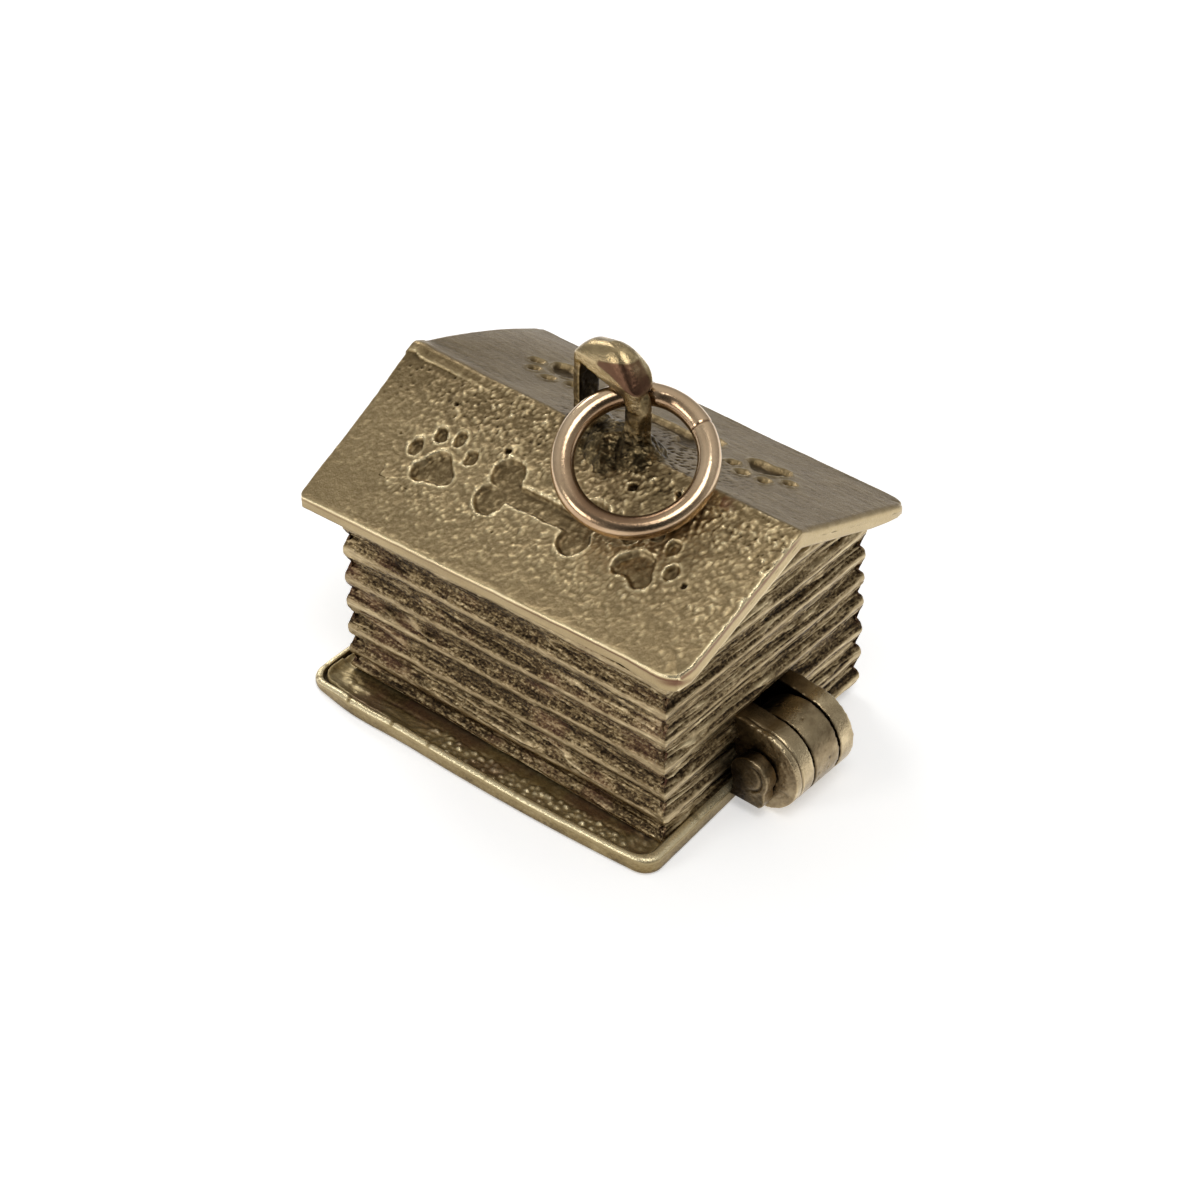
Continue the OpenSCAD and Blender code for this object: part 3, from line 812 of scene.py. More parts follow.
def build_wall(name, places, along, row_gap, z_top):
    """A wall with its inner face: columns of points at places on the plan, along the path from its start."""
    side, t, to_corner = wall_columns(places)
    foot = WALL_FOOT[side] * (1 - t) + WALL_FOOT[(side + 1) % 4] * t
    foot += 0.02 * (1 + noise(along * 0.9, 0, 0, 120))
    Z = np.maximum(np.arange(0.3, z_top, row_gap * COARSE), foot[:, None])
    H, tone, stain = wall_relief(*(v[:, None] for v in (side, t, along)), Z, to_corner[:, None])
    H -= 0.04 * bell(Z - foot[:, None], 0.05)
    tone = np.where(Z <= foot[:, None], FOOT_TONE, tone)
    normal = np.gradient(places, axis=0) @ np.array([[0, -1], [1, 0]])
    normal /= np.linalg.norm(normal, axis=1, keepdims=True)
    plan = places[:, None] + normal[:, None] * H[..., None]
    # the house is fuller by its far corner at the hinge end, most of all low down
    X, Y = plan[..., 0], plan[..., 1]
    Y += (0.2 + 0.2 * clamp(1 - Z / 8)) * step(-2, WALL_X1, X) * step(0, WALL_Y, Y)
    # the notch that the tray's knuckle stands in, and the inner face
    in_notch = (side == 1) & (places[:, 1] > NOTCH_Y[0]) & (places[:, 1] < NOTCH_Y[1])
    notch_face = in_notch[:, None] & (Z < NOTCH_TOP)
    X = np.where(notch_face, WALL_X1 - WALL_T, X)
    # painted shade: the notch's face is black, and the wall round the notch is darker
    tone = np.where(notch_face, 0.0, tone)
    off_notch = np.maximum(np.maximum(NOTCH_Y[0] - Y, Y - NOTCH_Y[1]), Z - NOTCH_TOP)
    shaded = tone * (0.45 + 0.55 * clamp(off_notch / 0.5))
    tone = np.where((side == 1)[:, None] & (off_notch < 0.5), shaded, tone)
    inner_x = np.clip(places[:, 0], WALL_X0 + WALL_T, WALL_X1 - WALL_T)
    inner_y = np.clip(places[:, 1], WALL_T - WALL_Y, WALL_Y - WALL_T)
    low = np.where(in_notch, NOTCH_TOP, foot)
    high = top_height(inner_y) - ROOF_DROP / 2
    inner = [np.stack([inner_x, inner_y, low + (high - low) * f], -1) for f in INNER_ROWS]
    P = np.concatenate([np.stack(inner, 1), np.stack([X, Y, Z], -1)], 1)
    # drop what would come out through the roof, and what is inside the notch
    count = len(INNER_ROWS)
    pad = ((0, 0), (count, 0))
    over = P[..., 2] > top_height(P[..., 1]) - ROOF_DROP * 0.45 + sag(P[..., 0], P[..., 1])
    over[:, :count] = False
    hole = all_corners(np.pad(notch_face, pad))
    hole[:, count - 1] |= in_notch[:-1] & in_notch[1:]
    faces = grid_faces(*over.shape, keep=~(all_corners(over) | hole))
    tone = np.pad(tone, pad, constant_values=INSIDE_TONE)
    return grid_object(name, P, faces, tone=tone, rust=np.pad(stain, pad))


def build_walls():
    corners = [(WALL_X0, -WALL_Y), (WALL_X1, -WALL_Y), (WALL_X1, WALL_Y), (WALL_X0, WALL_Y)]
    place, side = rounded_path(corners, [0.10] * 4, [0.036, 0.038, 0.12, 0.1], 8)
    gone = np.cumsum(np.hypot(*(np.roll(place, -1, 0) - place).T))
    along = np.concatenate([[0], gone])[:-1]
    total = len(place)
    loop_len = 2 * (WALL_X1 - WALL_X0 + 2 * WALL_Y)
    near_right, far_right, near_left = (int(np.argmin(abs(side - c))) for c in (0.99, 1.99, 3.99))
    for name, first, last, row_gap, z_top in (("wall_near", near_left - total, near_right, 0.034, 8.6),
                                              ("wall_hinge_end", near_right, far_right, 0.036, 10.3),
                                              ("walls_hidden", far_right, near_left, 0.085, 10.3)):
        index = np.arange(first, last + 1)
        before_start = np.where(index < 0, loop_len, 0)
        yield build_wall(name, place[index % total], along[index % total] - before_start, row_gap, z_top)


# the tray

TRAY_DEPTH = 1.75
BEAD, FOOT_EDGE = 0.15, 0.12
TRAY_MIDDLE = (-0.2, -0.4)
NEAR_STEP, END_STEP, FAR_STEP, FLOOR_STEP = 0.055, 0.08, 0.14, 0.045
# tones of the rows round the rim, of the floor, and of what lies in shade or further in
UNDER_TONE, SIDE_TONE, OUTER_TONE, TOP_TONE, LIP_TONE, DROP_TONE = 0.4, 0.54, 0.66, 1.0, 0.45, 0.2
FLOOR_TONE, SHADED_TONE, MIDDLE_TONE = 0.78, 0.12, 0.42


def tray_outline():
    """The tray's outline from the near left corner round to the far left."""
    x0 = TRAY_X1 - TRAY_LEN
    mid = (x0 + TRAY_X1) / 2
    slant = math.atan(4 * TRAY_BOW / TRAY_LEN)
    r0, r1 = TRAY_CORNER_LEFT, TRAY_CORNER_HINGE

    def edge_y(x, reach):
        return -reach - TRAY_BOW * (1 - ((x - mid) / (TRAY_LEN / 2)) ** 2)

    def half_line(reach, x1):
        c0, c1 = x0 + r0, x1 - r1
        e0, e1 = c0 - r0 * math.sin(slant), c1 + r1 * math.sin(slant)
        tilt = math.degrees(slant)
        left = arc_points(c0, edge_y(e0, reach) + r0 * math.cos(slant), r0, 180, 270 - tilt, 14)
        right = arc_points(c1, edge_y(e1, reach) + r1 * math.cos(slant), r1, 270 + tilt, 360, 14)
        return left + [(x, edge_y(x, reach)) for x in np.linspace(e0, e1, 60)[1:-1]] + right

    far = [(x, -y) for x, y in half_line(TRAY_BACK, TRAY_X1_BACK)]
    x, y = np.array(half_line(TRAY_FRONT, TRAY_X1) + far[::-1]).T
    # the real tray is a little fuller on the near side to the left and at the near hinge-end corner
    fuller_y = y - 0.16 * bell(x + 5.2, 1.6) * (y < -4)
    return np.c_[x + 0.12 * step(6.4, 7.2, x) * step(-2, -5, fuller_y), fuller_y]


def tray_spacing(p):
    """The step along the outline: finest on the near side."""
    if p[1] < -4.6:
        return NEAR_STEP
    return END_STEP if p[0] < -6 or p[0] > 5 else FAR_STEP


def resample(points):
    """A closed line with new points."""
    closed = np.concatenate([points, points[:1]])
    at = np.concatenate([[0], np.cumsum(np.hypot(*np.diff(closed, axis=0).T))])
    s, places = 0.0, []
    while s < at[-1]:
        places.append(np.array([np.interp(s, at, closed[:, 0]), np.interp(s, at, closed[:, 1])]))
        s += tray_spacing(places[-1]) * COARSE
    return np.array(places)


def tray_rows():
    """The rows from under the tray round its rim to its floor: kind, how far in, share of the rim's
    height, and height on top of that."""
    rows = [("under", d, 0, 0) for d in (TRAY_DEPTH, 0.9, 0.3, 0.14)]
    for a in np.radians((0, 30, 60, 90)):
        rows.append(("side", FOOT_EDGE * (1 - math.sin(a)), 0, FOOT_EDGE * (1 - math.cos(a))))
    rows += [("side", 0, f, FOOT_EDGE - f * (FOOT_EDGE + BEAD)) for f in (0.2, 0.4, 0.6, 0.8)]
    for a in np.linspace(180, 0, 12):
        kind = "outer" if a > 150 else "crown" if a > 50 else "inner"
        t = math.radians(a)
        rows.append((kind, BEAD * (1 + math.cos(t)), 1, BEAD * (math.sin(t) - 1)))
    for f in (0.3, 0.6, 0.85):
        rows.append(("drop", 2 * BEAD + f * (RIM_W - 2 * BEAD), 1 - f, FLOOR_T * f - BEAD * (1 - f)))
    rows += [("floor", d, 0, FLOOR_T) for d in np.arange(RIM_W + 0.02, 1.74, FLOOR_STEP * COARSE)]
    return (np.array(column)[:, None] for column in zip(*rows))


def rows_to_middle(ring, count):
    """Rows that close in from a ring of points on the tray's middle, down to a speck."""
    middle = np.array([*TRAY_MIDDLE, 0])
    return np.array([ring + (middle - ring) * k / (count + 0.02) for k in range(1, count + 1)])


def tray_cut(P):
    """Clears the part of the rim where the house's knuckles turn, by pulling it in under the wall."""
    room = KNUCKLE_R + 0.12
    for lo, hi in (NEAR_KNUCKLE_Y, FAR_KNUCKLE_Y):
        x, y, dz = P[..., 0], P[..., 1], P[..., 2] - PIN_Z
        close = (y > lo - 0.12) & (y < hi + 0.12) & (np.hypot(x - PIN_X, dz) < room) & (x > 5.5)
        edge = PIN_X - np.sqrt(np.maximum(room ** 2 - dz ** 2, 0))
        P[..., 0] = np.where(close, np.minimum(x, edge), x)
    return P


def build_tray():
    line = resample(tray_outline())
    lx, ly = line.T
    kinds, inward, rim_share, base_height = tray_rows()
    on_floor, on_drop, on_side = kinds == "floor", kinds == "drop", kinds == "side"
    on_top = np.isin(kinds, ("outer", "crown", "inner"))
    # the far side and the hinge end have little or no ledge, so their rim lies under the wall
    aim = np.c_[np.clip(lx, lx.min() + TRAY_DEPTH, TRAY_X1_BACK - TRAY_DEPTH),
                np.clip(ly, ly.min() + TRAY_DEPTH, ly.max() - TRAY_DEPTH)]
    towards = (aim - line) / TRAY_DEPTH
    unit = towards / np.linalg.norm(towards, axis=1, keepdims=True)
    at_left = step(-5.6, -7.4, lx)
    rim = RIM_H - 0.2 * at_left - 0.05 * step(-3, -6.5, lx) + 0.02 * noise(lx * 0.5, ly * 0.5, 0, 131)
    X, Y = lx + towards[:, 0] * inward, ly + towards[:, 1] * inward
    Z = rim * rim_share + base_height
    # floor: lumpy in the middle of the near side, a smoother ledge by the near left corner
    lumpy = step(-3.6, -1.6, X) * (1 - 0.6 * step(4.5, 7, X))
    near, pick = cells(X / 0.3, Y / 0.26, 132)
    lumps = dome(near, 0.65) ** 1.2 * (0.3 + 0.7 * pick)
    near, pick = cells(X / 0.13, Y / 0.13, 133)
    small = dome(near, 0.6) * pick
    streaks = fractal(X * 0.7, (Y - X * 0.12) * 5, 0, 139, 4) * (1 - lumpy)
    fillet, inner = bell(inward - RIM_W, 0.18), step(0.95, 1.3, inward)
    ledge = step(-2.2, -4.2, X) * (1 - step(0.4, 0.9, inward)) * (Y < -5)
    floor = lumpy * (0.14 * lumps + 0.05 * small) + 0.04 * streaks + 0.11 * ledge
    floor += 0.07 * fillet - 0.04 * inner
    floor += 0.05 * fractal(X / 0.8, Y / 0.8, 0, 134, 4) + 0.02 * fractal(X * 5, Y * 5, 0, 140, 3)
    under_wall = step(1.15, 1.3, inward) * (inward > 1.2)
    floor = floor * (1 - under_wall) + 0.01 * under_wall
    near, pick = cells(lx / 0.55, ly / 0.55, 135)
    nicks = dome(near, 0.22) * (pick > 0.55)
    H = on_floor * floor + on_top * (0.012 * noise(lx * 1.6, ly * 1.6, 0, 136) - 0.03 * nicks)
    Z = np.maximum(Z + H, 0)
    dents = on_side * np.minimum(0.012 * fractal(X * 2, Y * 2, Z * 6, 137, 3), 0)
    X, Y = X - unit[:, 0] * dents, Y - unit[:, 1] * dents
    # the floor's tone, then the rim's; the left rim leans in shade, so its inner face is dark
    tone = FLOOR_TONE + 3.2 * (H - blur(H, 3)) + 0.2 * lumps * lumpy * (lumps > 0.3) + 0.22 * streaks
    # painted shade: the floor is darker at the foot of the rim and towards the wall's foot
    tone -= 0.3 * (fillet + inner) + 0.10 * (1 - lumpy)
    mottle = 0.16 * fractal(X * 1.3, Y * 1.3, Z * 4, 146, 4) - 0.14 * step(0.3, 0.1, Z)
    on_crown, on_inner = kinds == "crown", kinds == "inner"
    tone = np.select([(on_drop | on_inner) & (at_left > 0.3), on_floor, on_side, on_drop, on_crown, on_inner,
                      kinds == "under"],
                     [SHADED_TONE, tone, SIDE_TONE + mottle, DROP_TONE, TOP_TONE - 0.5 * nicks, LIP_TONE,
                      UNDER_TONE],
                     OUTER_TONE + 0.06 * noise(X * 1.5, Y * 1.5, Z * 6, 144))
    stain = on_floor * 0.5 * step(0.0, 0.45, fractal(X * 0.8, Y * 0.8, 0, 145, 3))
    P = np.stack([X, Y, Z], -1)
    beneath, inside = rows_to_middle(P[0], 2)[::-1], rows_to_middle(P[-1], 10)
    inside[..., 2] = FLOOR_T + 0.015 * fractal(inside[..., 0] * 1.3, inside[..., 1] * 1.3, 0, 138, 3)
    P = tray_cut(np.concatenate([beneath, P, inside]))
    extra = ((len(beneath), len(inside)), (0, 0))
    return grid_object("tray_body", P, grid_faces(*P.shape[:2], wrap_m=True),
                       tone=np.pad(tone, extra, constant_values=MIDDLE_TONE), rust=np.pad(stain, extra))


# hinge pieces: the tray's two start under the wall, at LEAF_ROOT

LEAF_ROOT = 6.3


def gap_shade(co):
    """Painted shade along the two gaps between the knuckles, from 0 to 1."""
    return bell(co[:, 1] + 0.345, 0.06) + bell(co[:, 1] - 1.0, 0.075)


def hinge_tone(co, no, h, curve):
    """Pale and polished outwards, brown by the wall and in the hollows, with painted shade along the gaps
    between the knuckles.
    """
    out, side_face = step(6.95, 8.3, co[:, 0]), step(0.6, 0.9, abs(no[:, 1]))
    patch = fractal_at(co, 1.6, 151)
    return 0.32 + 0.42 * out - 0.20 * side_face + 14 * curve + 0.2 * patch - 0.5 * gap_shade(co)


def hinge_height(co, no):
    side_face = step(0.6, 0.9, abs(no[:, 1]))
    return 0.012 * fractal_at(co, 3, 152) + 0.02 * side_face * fractal_at(co, (7, 2, 7), 153, 3)


def from_pin(co):
    """Distance and angle about the pin."""
    dx, dz = co[:, 0] - PIN_X, co[:, 2] - PIN_Z
    return np.hypot(dx, dz), np.arctan2(dz, dx)


def build_house_leaves():
    leaves = []
    for y_range, root_z in ((NEAR_KNUCKLE_Y, 3.22), (FAR_KNUCKLE_Y, 3.2)):
        profile = [(WALL_X1 - 0.35, PIN_Z - 0.5), (PIN_X - 1.2, PIN_Z - 0.62)]
        profile += arc_points(PIN_X, PIN_Z, KNUCKLE_R, 215, 450, 60)
        profile += [(WALL_X1 + 0.2, root_z - 0.03), (WALL_X1 - 0.35, root_z)]
        leaves.append(slab("leaf", profile, y_range))
    obj = smoothed_shape(joined("hinge_leaves", leaves), voxel=0.05, passes=3)

    def height(co, no):
        # a second fine line runs round the near barrel close to its edge, and fades out
        angle = np.degrees(from_pin(co)[1])
        fade = step(-45, -10, angle) * (1 - step(95, 125, angle))
        return hinge_height(co, no) - 0.05 * bell(co[:, 1] + 1.02 + 0.0012 * (angle - 20), 0.035) * fade

    def tone(co, no, h, curve):
        return hinge_tone(co, no, h, curve) + 4.0 * np.minimum(h + 0.02, 0)

    return relief(obj, height, tone)


def build_tray_knuckle():
    profile = arc_points(PIN_X, PIN_Z, KNUCKLE_R, -90, 180, 70)
    profile += [(LEAF_ROOT, PIN_Z), (LEAF_ROOT, 0.3), (LEAF_ROOT, 0.02), (PIN_X - 0.6, 0.02)]
    obj = smoothed_shape(slab("middle_knuckle", profile, TRAY_KNUCKLE_Y), voxel=0.05, passes=2)

    def height(co, no):
        near, pick = cells(co[:, 1] / 0.2, from_pin(co)[1] * 1.5 / 0.2, 154)
        return hinge_height(co, no) - 0.03 * dome(near, 0.5) * (pick > 0.88)

    def tone(co, no, h, curve):
        by_wall = step(7.5, 6.9, co[:, 0])
        mottle = 0.25 * fractal_at(co, 2.6, 155) + 3 * np.minimum(h, 0)
        # painted shade along the gaps between the knuckles
        return 0.6 + 10 * curve + mottle - 0.3 * by_wall - 0.6 * gap_shade(co)

    return relief(obj, height, tone)


def build_tray_lug():
    disc = slab("disc", arc_points(PIN_X, PIN_Z, LUG_R, 0, 352, 44), LUG_Y)
    outline = [(LEAF_ROOT, 0.36), (LEAF_ROOT, 0.02), (7.35, 0.02), (7.9, 0.22), (8.3, 0.42), (8.5, 0.6),
               (8.55, 0.8), (8.55, 1.0), (8.5, 1.4), (7.3, 1.4), (7.2, 0.4)]
    neck = slab("neck", outline, LUG_Y)
    obj = smoothed_shape(joined("end_lug", [disc, neck]), voxel=0.045, passes=3)

    def height(co, no):
        line = bell(from_pin(co)[0] - 0.5, 0.05) * step(0.2, 0.6, co[:, 0] - PIN_X + 0.3)
        return hinge_height(co, no) - 0.05 * line * step(0.5, 0.9, -no[:, 1])

    def tone(co, no, h, curve):
        # painted shade: the lug is darker overall, and lighter low down at its foot
        return hinge_tone(co, no, h, curve) - 0.24 + 0.2 * step(0.6, 0.1, co[:, 2])

    relief(obj, height, tone)
    # the near edge of the foot is cut off at a slant
    co = mesh_arrays(obj)[0]
    co[:, 2] = np.maximum(co[:, 2], 0.0)
    slant = LUG_Y[0] + np.clip(0.5 - co[:, 2], 0, 0.5)
    co[:, 1] = np.where(co[:, 1] < -1.4, np.maximum(co[:, 1], slant), co[:, 1])
    place_vertices(obj.data, co)
    return obj


# the bail, worked out in its own frame: u along the ridge, v across it, w up from the ridge

BAIL_COS, BAIL_SIN = math.cos(BAIL_TURN), math.sin(BAIL_TURN)
CROWN_U0, CROWN_LEN = -1.31, 2.62
NEAR_RIM, FAR_RIM = (2.53, 1.93), (2.50, 2.19)
CROWN_STEPS, BALL_STEPS = (34, 22), (20, 28)


def bail_place(p):
    u, v, w = np.moveaxis(np.asarray(p, float), -1, 0)
    return np.stack([BAIL_AT[0] + u * BAIL_COS - v * BAIL_SIN, BAIL_AT[1] + u * BAIL_SIN + v * BAIL_COS,
                     RIDGE_Z + w], -1)


def bail_local(co):
    x, y = co[:, 0] - BAIL_AT[0], co[:, 1] - BAIL_AT[1]
    return x * BAIL_COS + y * BAIL_SIN, y * BAIL_COS - x * BAIL_SIN, co[:, 2] - RIDGE_Z


def crown_rim(u, heights):
    """The height of the crown's rim, which runs straight from its left end to its right end."""
    return heights[0] + (u - CROWN_U0) * (heights[1] - heights[0]) / CROWN_LEN


def crown():
    """The crown's top and underside: a cushion with a rounded plan, drooping to the right."""
    A, B = np.meshgrid(*(np.linspace(-1, 1, count) for count in CROWN_STEPS), indexing="ij")
    # the square grid pressed into a superellipse, squarer on the near side
    k = np.where(B < 0, 5.0, 2.6)
    scale = np.maximum(abs(A), abs(B)) / (abs(A) ** k + abs(B) ** k) ** (1 / k)
    U = A * scale * np.where(A < 0, 1.5, 1.42)
    V = B * scale * 0.60 - 0.02
    g = (V + 0.6) / 1.18
    rim = crown_rim(U, NEAR_RIM) * (1 - g) + crown_rim(U, FAR_RIM) * g
    rim -= 0.32 * clamp((-0.85 - U) / 0.65) ** 2
    left, right = clamp((-0.45 - U) / 1.10), clamp((U + 0.25) / 1.69)
    along = np.sqrt(clamp(1 - left ** 2.3)) * np.sqrt(clamp(1 - right ** 3))
    across = np.sqrt(clamp(1 - ((V + 0.1) / np.where(V < -0.1, 0.56, 0.74)) ** 2))
    top = rim + 0.12 + (0.53 + 0.53 * bell(U - 0.3, 0.95)) * along * across
    under = np.maximum(rim - 0.12, 2.40 - 0.13 * U) - 0.02
    near_edge = step(-0.32, -0.5, V)
    under = under * (1 - near_edge) + (rim - 0.02) * near_edge
    lip = step(0.78, 1.05, U) * step(-0.25, -0.42, V)
    under = np.minimum(under * (1 - lip) + (rim - 0.42) * lip, top - 0.08)
    return np.stack([U, V, top], -1), np.stack([U, V, under], -1)


def closed_pair(name, top, bottom):
    """A closed shape between two grids with the same plan."""
    n, m = top.shape[:2]
    faces = grid_faces(n, m).tolist() + (grid_faces(n, m)[:, ::-1] + n * m).tolist()
    rim = [(i, 0) for i in range(n)] + [(n - 1, j) for j in range(1, m)]
    rim += [(i, m - 1) for i in range(n - 2, -1, -1)] + [(0, j) for j in range(m - 2, 0, -1)]
    ids = [i * m + j for i, j in rim]
    faces += [(b, a, a + n * m, b + n * m) for a, b in zip(ids, ids[1:] + ids[:1])]
    return mesh_object(name, np.concatenate([top.reshape(-1, 3), bottom.reshape(-1, 3)]) * MM, faces)


def crown_dark_reflection(u, v, above):
    """The dark facet on the near side of the crown, a painted dark reflection, by how far it lies above the
    crown's near rim.
    """
    upper = np.interp(u, [-0.45, -0.11, 0.46, 0.95, 1.21, 1.42], [0.50, 0.66, 0.92, 1.06, 0.90, 0.55])
    lower = np.interp(u, [-0.2, 0.3, 0.8, 1.1], [0.42, 0.44, 0.36, 0.27])
    ends = step(-0.34, -0.14, u) * (1 - step(1.35, 1.5, u))
    inside = step(lower, lower + 0.07, above) * (1 - step(upper - 0.04, upper + 0.04, above))
    return ends * inside * step(0.3, 0.1, v)


def leg(plan, levels):
    """A leg: its plan outline, and each level's height, share of the plan's size and shift in u and v."""
    plan = np.array(plan, float)
    middle = plan.mean(0)
    rings = []
    for w, share, du, dv in levels:
        outline = middle + (plan - middle) * share + (du, dv)
        rings.append(bail_place(np.c_[outline, np.full(len(plan), w)]))
    return loft("leg", rings)


def ball(middle, radii):
    rings = []
    up, round_it = BALL_STEPS
    t = np.linspace(0, 2 * math.pi, round_it, endpoint=False)
    for a in np.radians(np.linspace(-88, 88, up)):
        unit = np.c_[math.cos(a) * np.cos(t), math.cos(a) * np.sin(t), np.full(round_it, math.sin(a))]
        rings.append(bail_place(np.array(middle) + unit * np.array(radii)))
    return loft("ball", rings)


def build_bail():
    shapes = [closed_pair("crown", *(bail_place(skin) for skin in crown()))]
    shapes.append(leg([(-1.5, -0.45), (-1.16, -0.5), (-1.12, 0), (-1.16, 0.45), (-1.5, 0.4), (-1.55, 0)],
                      [(-0.6, 1.05, 0, 0), (0.6, 1.0, 0, 0), (1.8, 1.0, 0, 0), (2.35, 1.0, 0.05, 0),
                       (2.6, 0.9, 0.14, 0)]))
    shapes.append(leg([(0.80, -0.42), (1.1, -0.46), (1.45, -0.42), (1.62, -0.25), (1.66, 0), (1.34, 0)],
                      [(-0.6, 1.2, -0.06, -0.02), (0.45, 1.08, -0.06, -0.02), (0.9, 0.98, -0.05, 0),
                       (1.5, 1.0, -0.02, 0), (2.05, 1.0, -0.12, 0.02), (2.3, 0.7, -0.3, 0.05)]))
    # metal run round the feet
    shapes += [ball((-0.95, -0.2, -0.68), (1.05, 1.0, 1.12)), ball((0.1, -0.25, -0.7), (1.1, 1.15, 1.1)),
               ball((1.15, -0.15, -0.68), (1.05, 1.0, 1.12)), ball((0.55, -0.75, -0.85), (0.8, 0.75, 0.95)),
               ball((-0.6, -0.8, -0.9), (0.8, 0.7, 0.95))]
    obj = smoothed_shape(joined("bail", shapes), voxel=0.045, passes=6)

    def height(co, no):
        u, v, w = bail_local(co)
        low = 1 - step(0.5, 1.1, w)
        legs = step(0.5, 0.9, w) * (1 - step(1.9, 2.2, w))
        on_crown = step(2.45, 2.75, w) * step(-0.25, 0.05, v) * (u > -0.4)
        lumps = (0.09 * low + 0.03 * legs + 0.008) * fractal_at(co, 2.4, 161)
        return lumps + (0.03 * low + 0.012 * legs + 0.012 * on_crown) * fractal_at(co, 9, 162, 3)

    def tone(co, no, h, curve):
        u, v, w = bail_local(co)
        above = w - crown_rim(u, NEAR_RIM)
        base = 0.36 + 0.22 * step(1.9, 2.5, w) - 0.11 * (1 - step(0.3, 0.9, w))
        # painted highlights: a pale line along the crown's near rim, and a bright band on the crown's top
        rim_line = bell(above + 0.02, 0.3) * step(-0.3, -0.45, v) * step(1.45, 1.6, w)
        bright = bell(above - 0.9, 0.16) * step(-0.35, -0.1, v) * step(-0.5, 0.2, u)
        bright = bright * (0.75 + 0.5 * fractal_at(co, 9, 166, 2))
        grainy = step(-0.2, 0.0, v) * step(2.3, 2.5, w) * fractal_at(co, 8, 164, 3)
        # painted shade in the hole between the legs and on the left leg's inner face
        between_legs = step(1.15, 0.85, abs(u)) * step(1.0, 1.3, w) * step(2.45, 2.3, w)
        inner_face = step(0.3, 0.7, no[:, 0]) * (u < -0.6) * step(0.6, 0.9, w) * step(2.5, 2.3, w)
        deep = (1 - step(0.4, 0.9, w)) * fractal_at(co, 5, 165)
        mottle = 0.22 * deep + 0.12 * fractal_at(co, 1.5, 163) + 0.2 * grainy
        # light: painted highlights on the rim and top, less a painted dark reflection on the near facet;
        # dark: painted shade in the hole between the legs
        light = 0.25 * rim_line + 0.42 * bright - 0.34 * crown_dark_reflection(u, v, above)
        dark = 0.35 * np.maximum(between_legs, inner_face)
        return base + (2 + 12 * (w < 1.9)) * curve + mottle + light - dark

    relief(obj, height, tone)
    u, v, w = bail_local(mesh_arrays(obj)[0])
    # the painted dark reflection on the near facet is reddish as well
    store(obj.data, "rust", 0.55 * crown_dark_reflection(u, v, w - crown_rim(u, NEAR_RIM)))
    return obj


# the jump ring: round wire with a soldered seam; each angle runs round the ring

SEAM_AT, SOLDER_AT, WEAR_AT, DARK_REFLECTION_AT, HIGHLIGHT_AT = (math.radians(a) for a in (127, 170, 163, 5, 95))
LUMP_AT = 2.2
RING_STEPS, WIRE_STEPS, RING_TONE = 440, 40, 0.68


def turned(a, middle):
    """How far the angle a is from the middle, within half a turn each way."""
    return np.mod(a - middle + math.pi, 2 * math.pi) - math.pi


def build_ring():
    n, m = int(RING_STEPS / COARSE), int(WIRE_STEPS / COARSE)
    A, B = np.meshgrid(np.arange(n) * 2 * math.pi / n, np.arange(m) * 2 * math.pi / m, indexing="ij")
    wire = WIRE_R * (1 - 0.012 + 0.012 * noise(np.cos(A) * 3, np.sin(A) * 3, 0, 171))
    seam = bell(turned(A, SEAM_AT) * RING_R, 0.035)
    wire = wire * (1 - 0.09 * seam * (0.6 + 0.4 * np.cos(B)))
    wire -= 0.02 * bell(turned(A, WEAR_AT), 0.25) * (np.cos(B) < -0.2)
    lump = bell(turned(A, SOLDER_AT) * RING_R, 0.3) * bell(turned(B, LUMP_AT), 0.8)
    wire += (0.05 + 0.02 * fractal(A * 9, B * 2, 0, 172, 3)) * lump
    R = RING_R + wire * np.cos(B)
    pose = Matrix.Rotation(RING_TURN, 3, "Z") @ Matrix.Rotation(RING_LEAN, 3, "Y")
    P = np.stack([R * np.cos(A), R * np.sin(A), wire * np.sin(B)], -1) @ np.array(pose).T + RING_AT
    # a painted dark reflection on the inner side of the wire, with less of it where a painted highlight
    # falls, and more at the ring's lowest part
    inner = 0.28 - 0.26 * step(0.5, 1.0, np.cos(A - HIGHLIGHT_AT))
    painted_dark_reflection = inner * step(0.25, -0.7, np.cos(B)) + 0.2 * step(0.3, 1.0, np.cos(A - DARK_REFLECTION_AT))
    tone = RING_TONE + 0.1 * noise(np.cos(A) * 2, np.sin(A) * 2, B * 0.7, 173) - 0.4 * seam - painted_dark_reflection
    return grid_object("jump_ring_wire", P, grid_faces(n, m, wrap_n=True, wrap_m=True), tone=tone)


def finish_piece(obj, body, mat, replaced):
    obj.data.materials.clear()
    obj.data.materials.append(mat)
    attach(obj, body)
    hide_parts(replaced)


finish_piece(build_roof(), "house", mat_roof, "kennel_shell")
for wall in build_walls():
    finish_piece(wall, "house", mat_wall, "kennel_shell")
finish_piece(build_bail(), "house", mat_bail, "kennel_shell")
finish_piece(build_house_leaves(), "house", mat_hinge, "kennel_shell")
finish_piece(build_ring(), "house", mat_ring, "jump_ring")
finish_piece(build_tray(), "base", mat_tray, "base_tray")
finish_piece(build_tray_knuckle(), "base", mat_hinge, "base_tray")
finish_piece(build_tray_lug(), "base", mat_hinge, "base_tray")
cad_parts["hinge_pin"].data.materials.clear()
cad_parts["hinge_pin"].data.materials.append(mat_pin)


# stage, camera and light; from here on, places and sizes are in metres

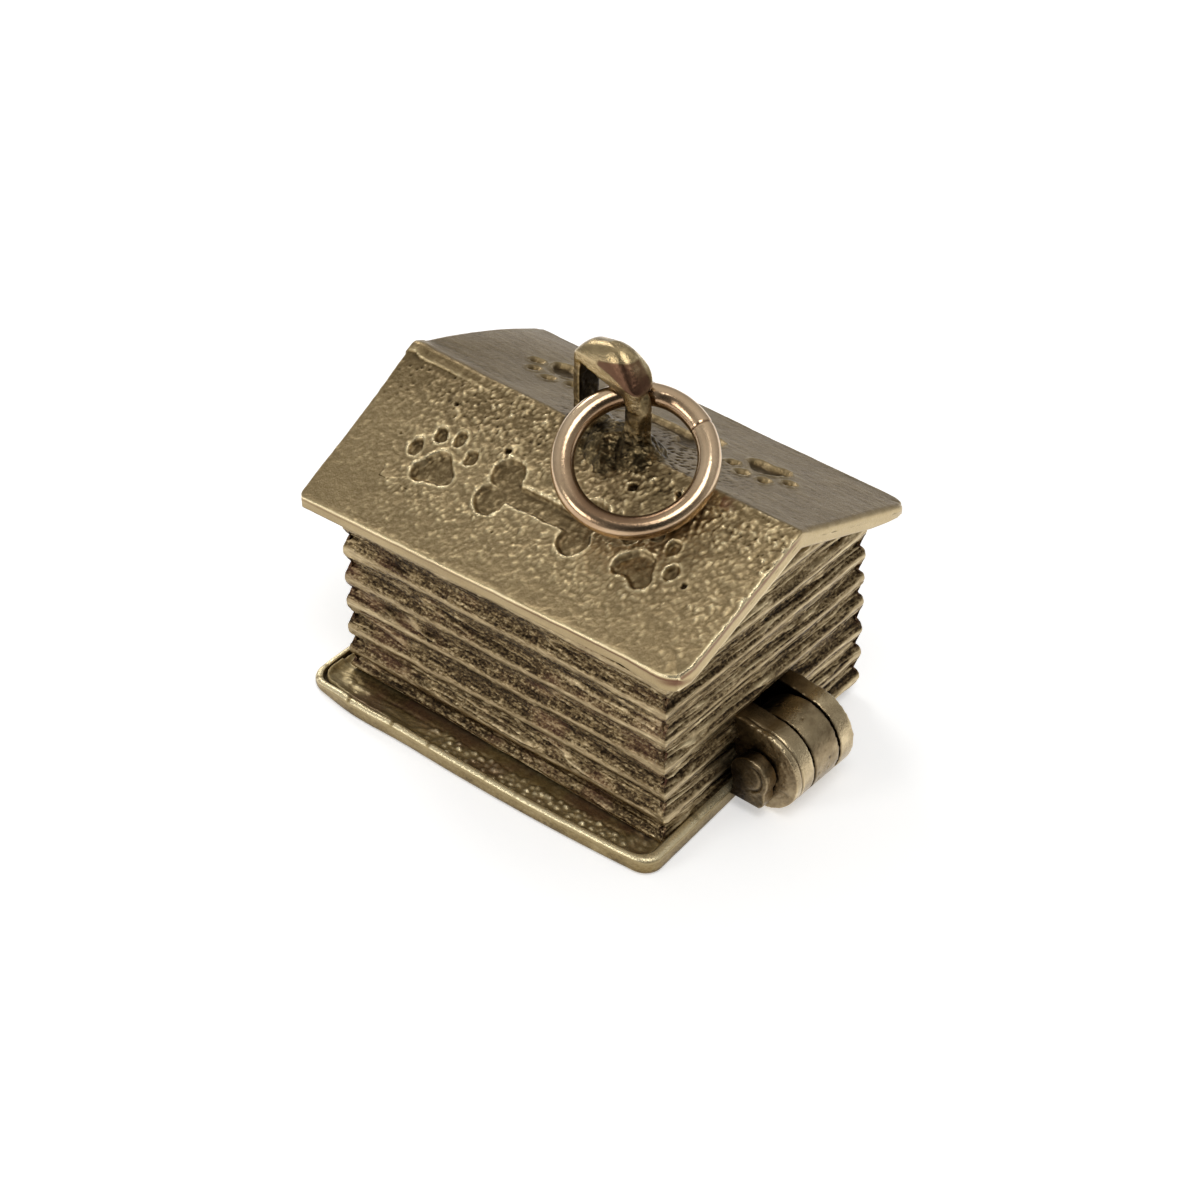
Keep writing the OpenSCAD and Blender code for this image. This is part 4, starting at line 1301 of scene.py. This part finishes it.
FLOOR_HALF, FLOOR_Z, FLOOR_GREY, FLOOR_GLOW = 1.0, -0.00002, (0.9, 0.9, 0.9, 1), 0.45
CAM_AT = (0.0502995, -0.0599335, 0.0661580)
CAM_AXES = ((0.764904, 0.644138, 0.002937), (-0.403901, 0.476064, 0.781170), (0.501783, -0.598707, 0.624311))
LAMP_MIDDLE, LAMP_DISTANCE = np.array([0, 0, 0.006]), 0.27
LAMPS = [("key", (0.35, -0.20, 0.92), 0.13, 0.22), ("left", (-0.75, 0.35, 0.56), 0.09, 0.14),
         ("front", (-0.31, -0.87, 0.375), 0.09, 0.14)]


def stand(name, data, axes, at):
    """A camera or lamp in the scene, with its three axes and its place."""
    obj = bpy.data.objects.new(name, data)
    obj.matrix_world = Matrix([(*row, p) for row, p in zip(np.array(axes).T, at)] + [(0, 0, 0, 1)])
    bpy.context.scene.collection.objects.link(obj)
    return obj


floor = mesh_object("floor", [(x * FLOOR_HALF, y * FLOOR_HALF, FLOOR_Z)
                              for x, y in ((-1, -1), (1, -1), (1, 1), (-1, 1))], [(0, 1, 2, 3)])
floor_mat = bpy.data.materials.new("floor_white")
floor_mat.use_nodes = True
floor_inputs = floor_mat.node_tree.nodes["Principled BSDF"].inputs
for key, value in (("Base Color", FLOOR_GREY), ("Roughness", 0.7), ("Emission Color", (1, 1, 1, 1)),
                   ("Emission Strength", FLOOR_GLOW)):
    floor_inputs[key].default_value = value
floor.data.materials.append(floor_mat)

cam_data = bpy.data.cameras.new("camera")
cam_data.lens = 90
cam_data.sensor_width = 36
cam_data.clip_start = 0.001
cam_data.clip_end = 10
bpy.context.scene.camera = stand("camera", cam_data, CAM_AXES, CAM_AT)

for lamp_name, way, width, power in LAMPS:
    lamp = bpy.data.lights.new(lamp_name, "AREA")
    lamp.shape = "RECTANGLE"
    lamp.size = width
    lamp.size_y = width
    lamp.energy = power
    away = np.array(way) / np.linalg.norm(way)
    across = np.cross((0, 0, 1), away)
    across = across / np.linalg.norm(across)
    at = LAMP_MIDDLE + LAMP_DISTANCE * np.array(way)
    stand(lamp_name, lamp, (across, np.cross(away, across), away), at)

bpy.context.scene.view_settings.view_transform = "Standard"

# a room that is bright overhead, dim round the horizon and dark about where the photo was taken from
GREYS = [(0.0, 0.30), (0.3, 0.36), (0.62, 0.46), (0.85, 0.55), (1.0, 0.58)]
DARK_WAY = (0.54, -0.60, 0.59)
world = bpy.data.worlds.new("studio")
world.use_nodes = True
bpy.context.scene.world = world
sky = world.node_tree
sky.nodes.clear()
world_out = node(sky, "ShaderNodeOutputWorld")
background = node(sky, "ShaderNodeBackground", {"Strength": 1.0})
sky.links.new(background.outputs[0], world_out.inputs[0])
view_way = node(sky, "ShaderNodeTexCoord").outputs["Generated"]
view_up = node(sky, "ShaderNodeSeparateXYZ", {0: view_way}).outputs["Z"]
greys = colour_ramp(sky, view_up, [(at, (grey, grey * 0.99, grey * 0.96)) for at, grey in GREYS])
towards = node(sky, "ShaderNodeVectorMath", {0: view_way, 1: DARK_WAY}, operation="DOT_PRODUCT")
dark = between(sky, towards.outputs["Value"], 0.5, 0.95, 1.0, 0.1)
dimmed = node(sky, "ShaderNodeVectorMath", {0: greys, 3: dark}, operation="SCALE")
sky.links.new(dimmed.outputs[0], background.inputs["Color"])
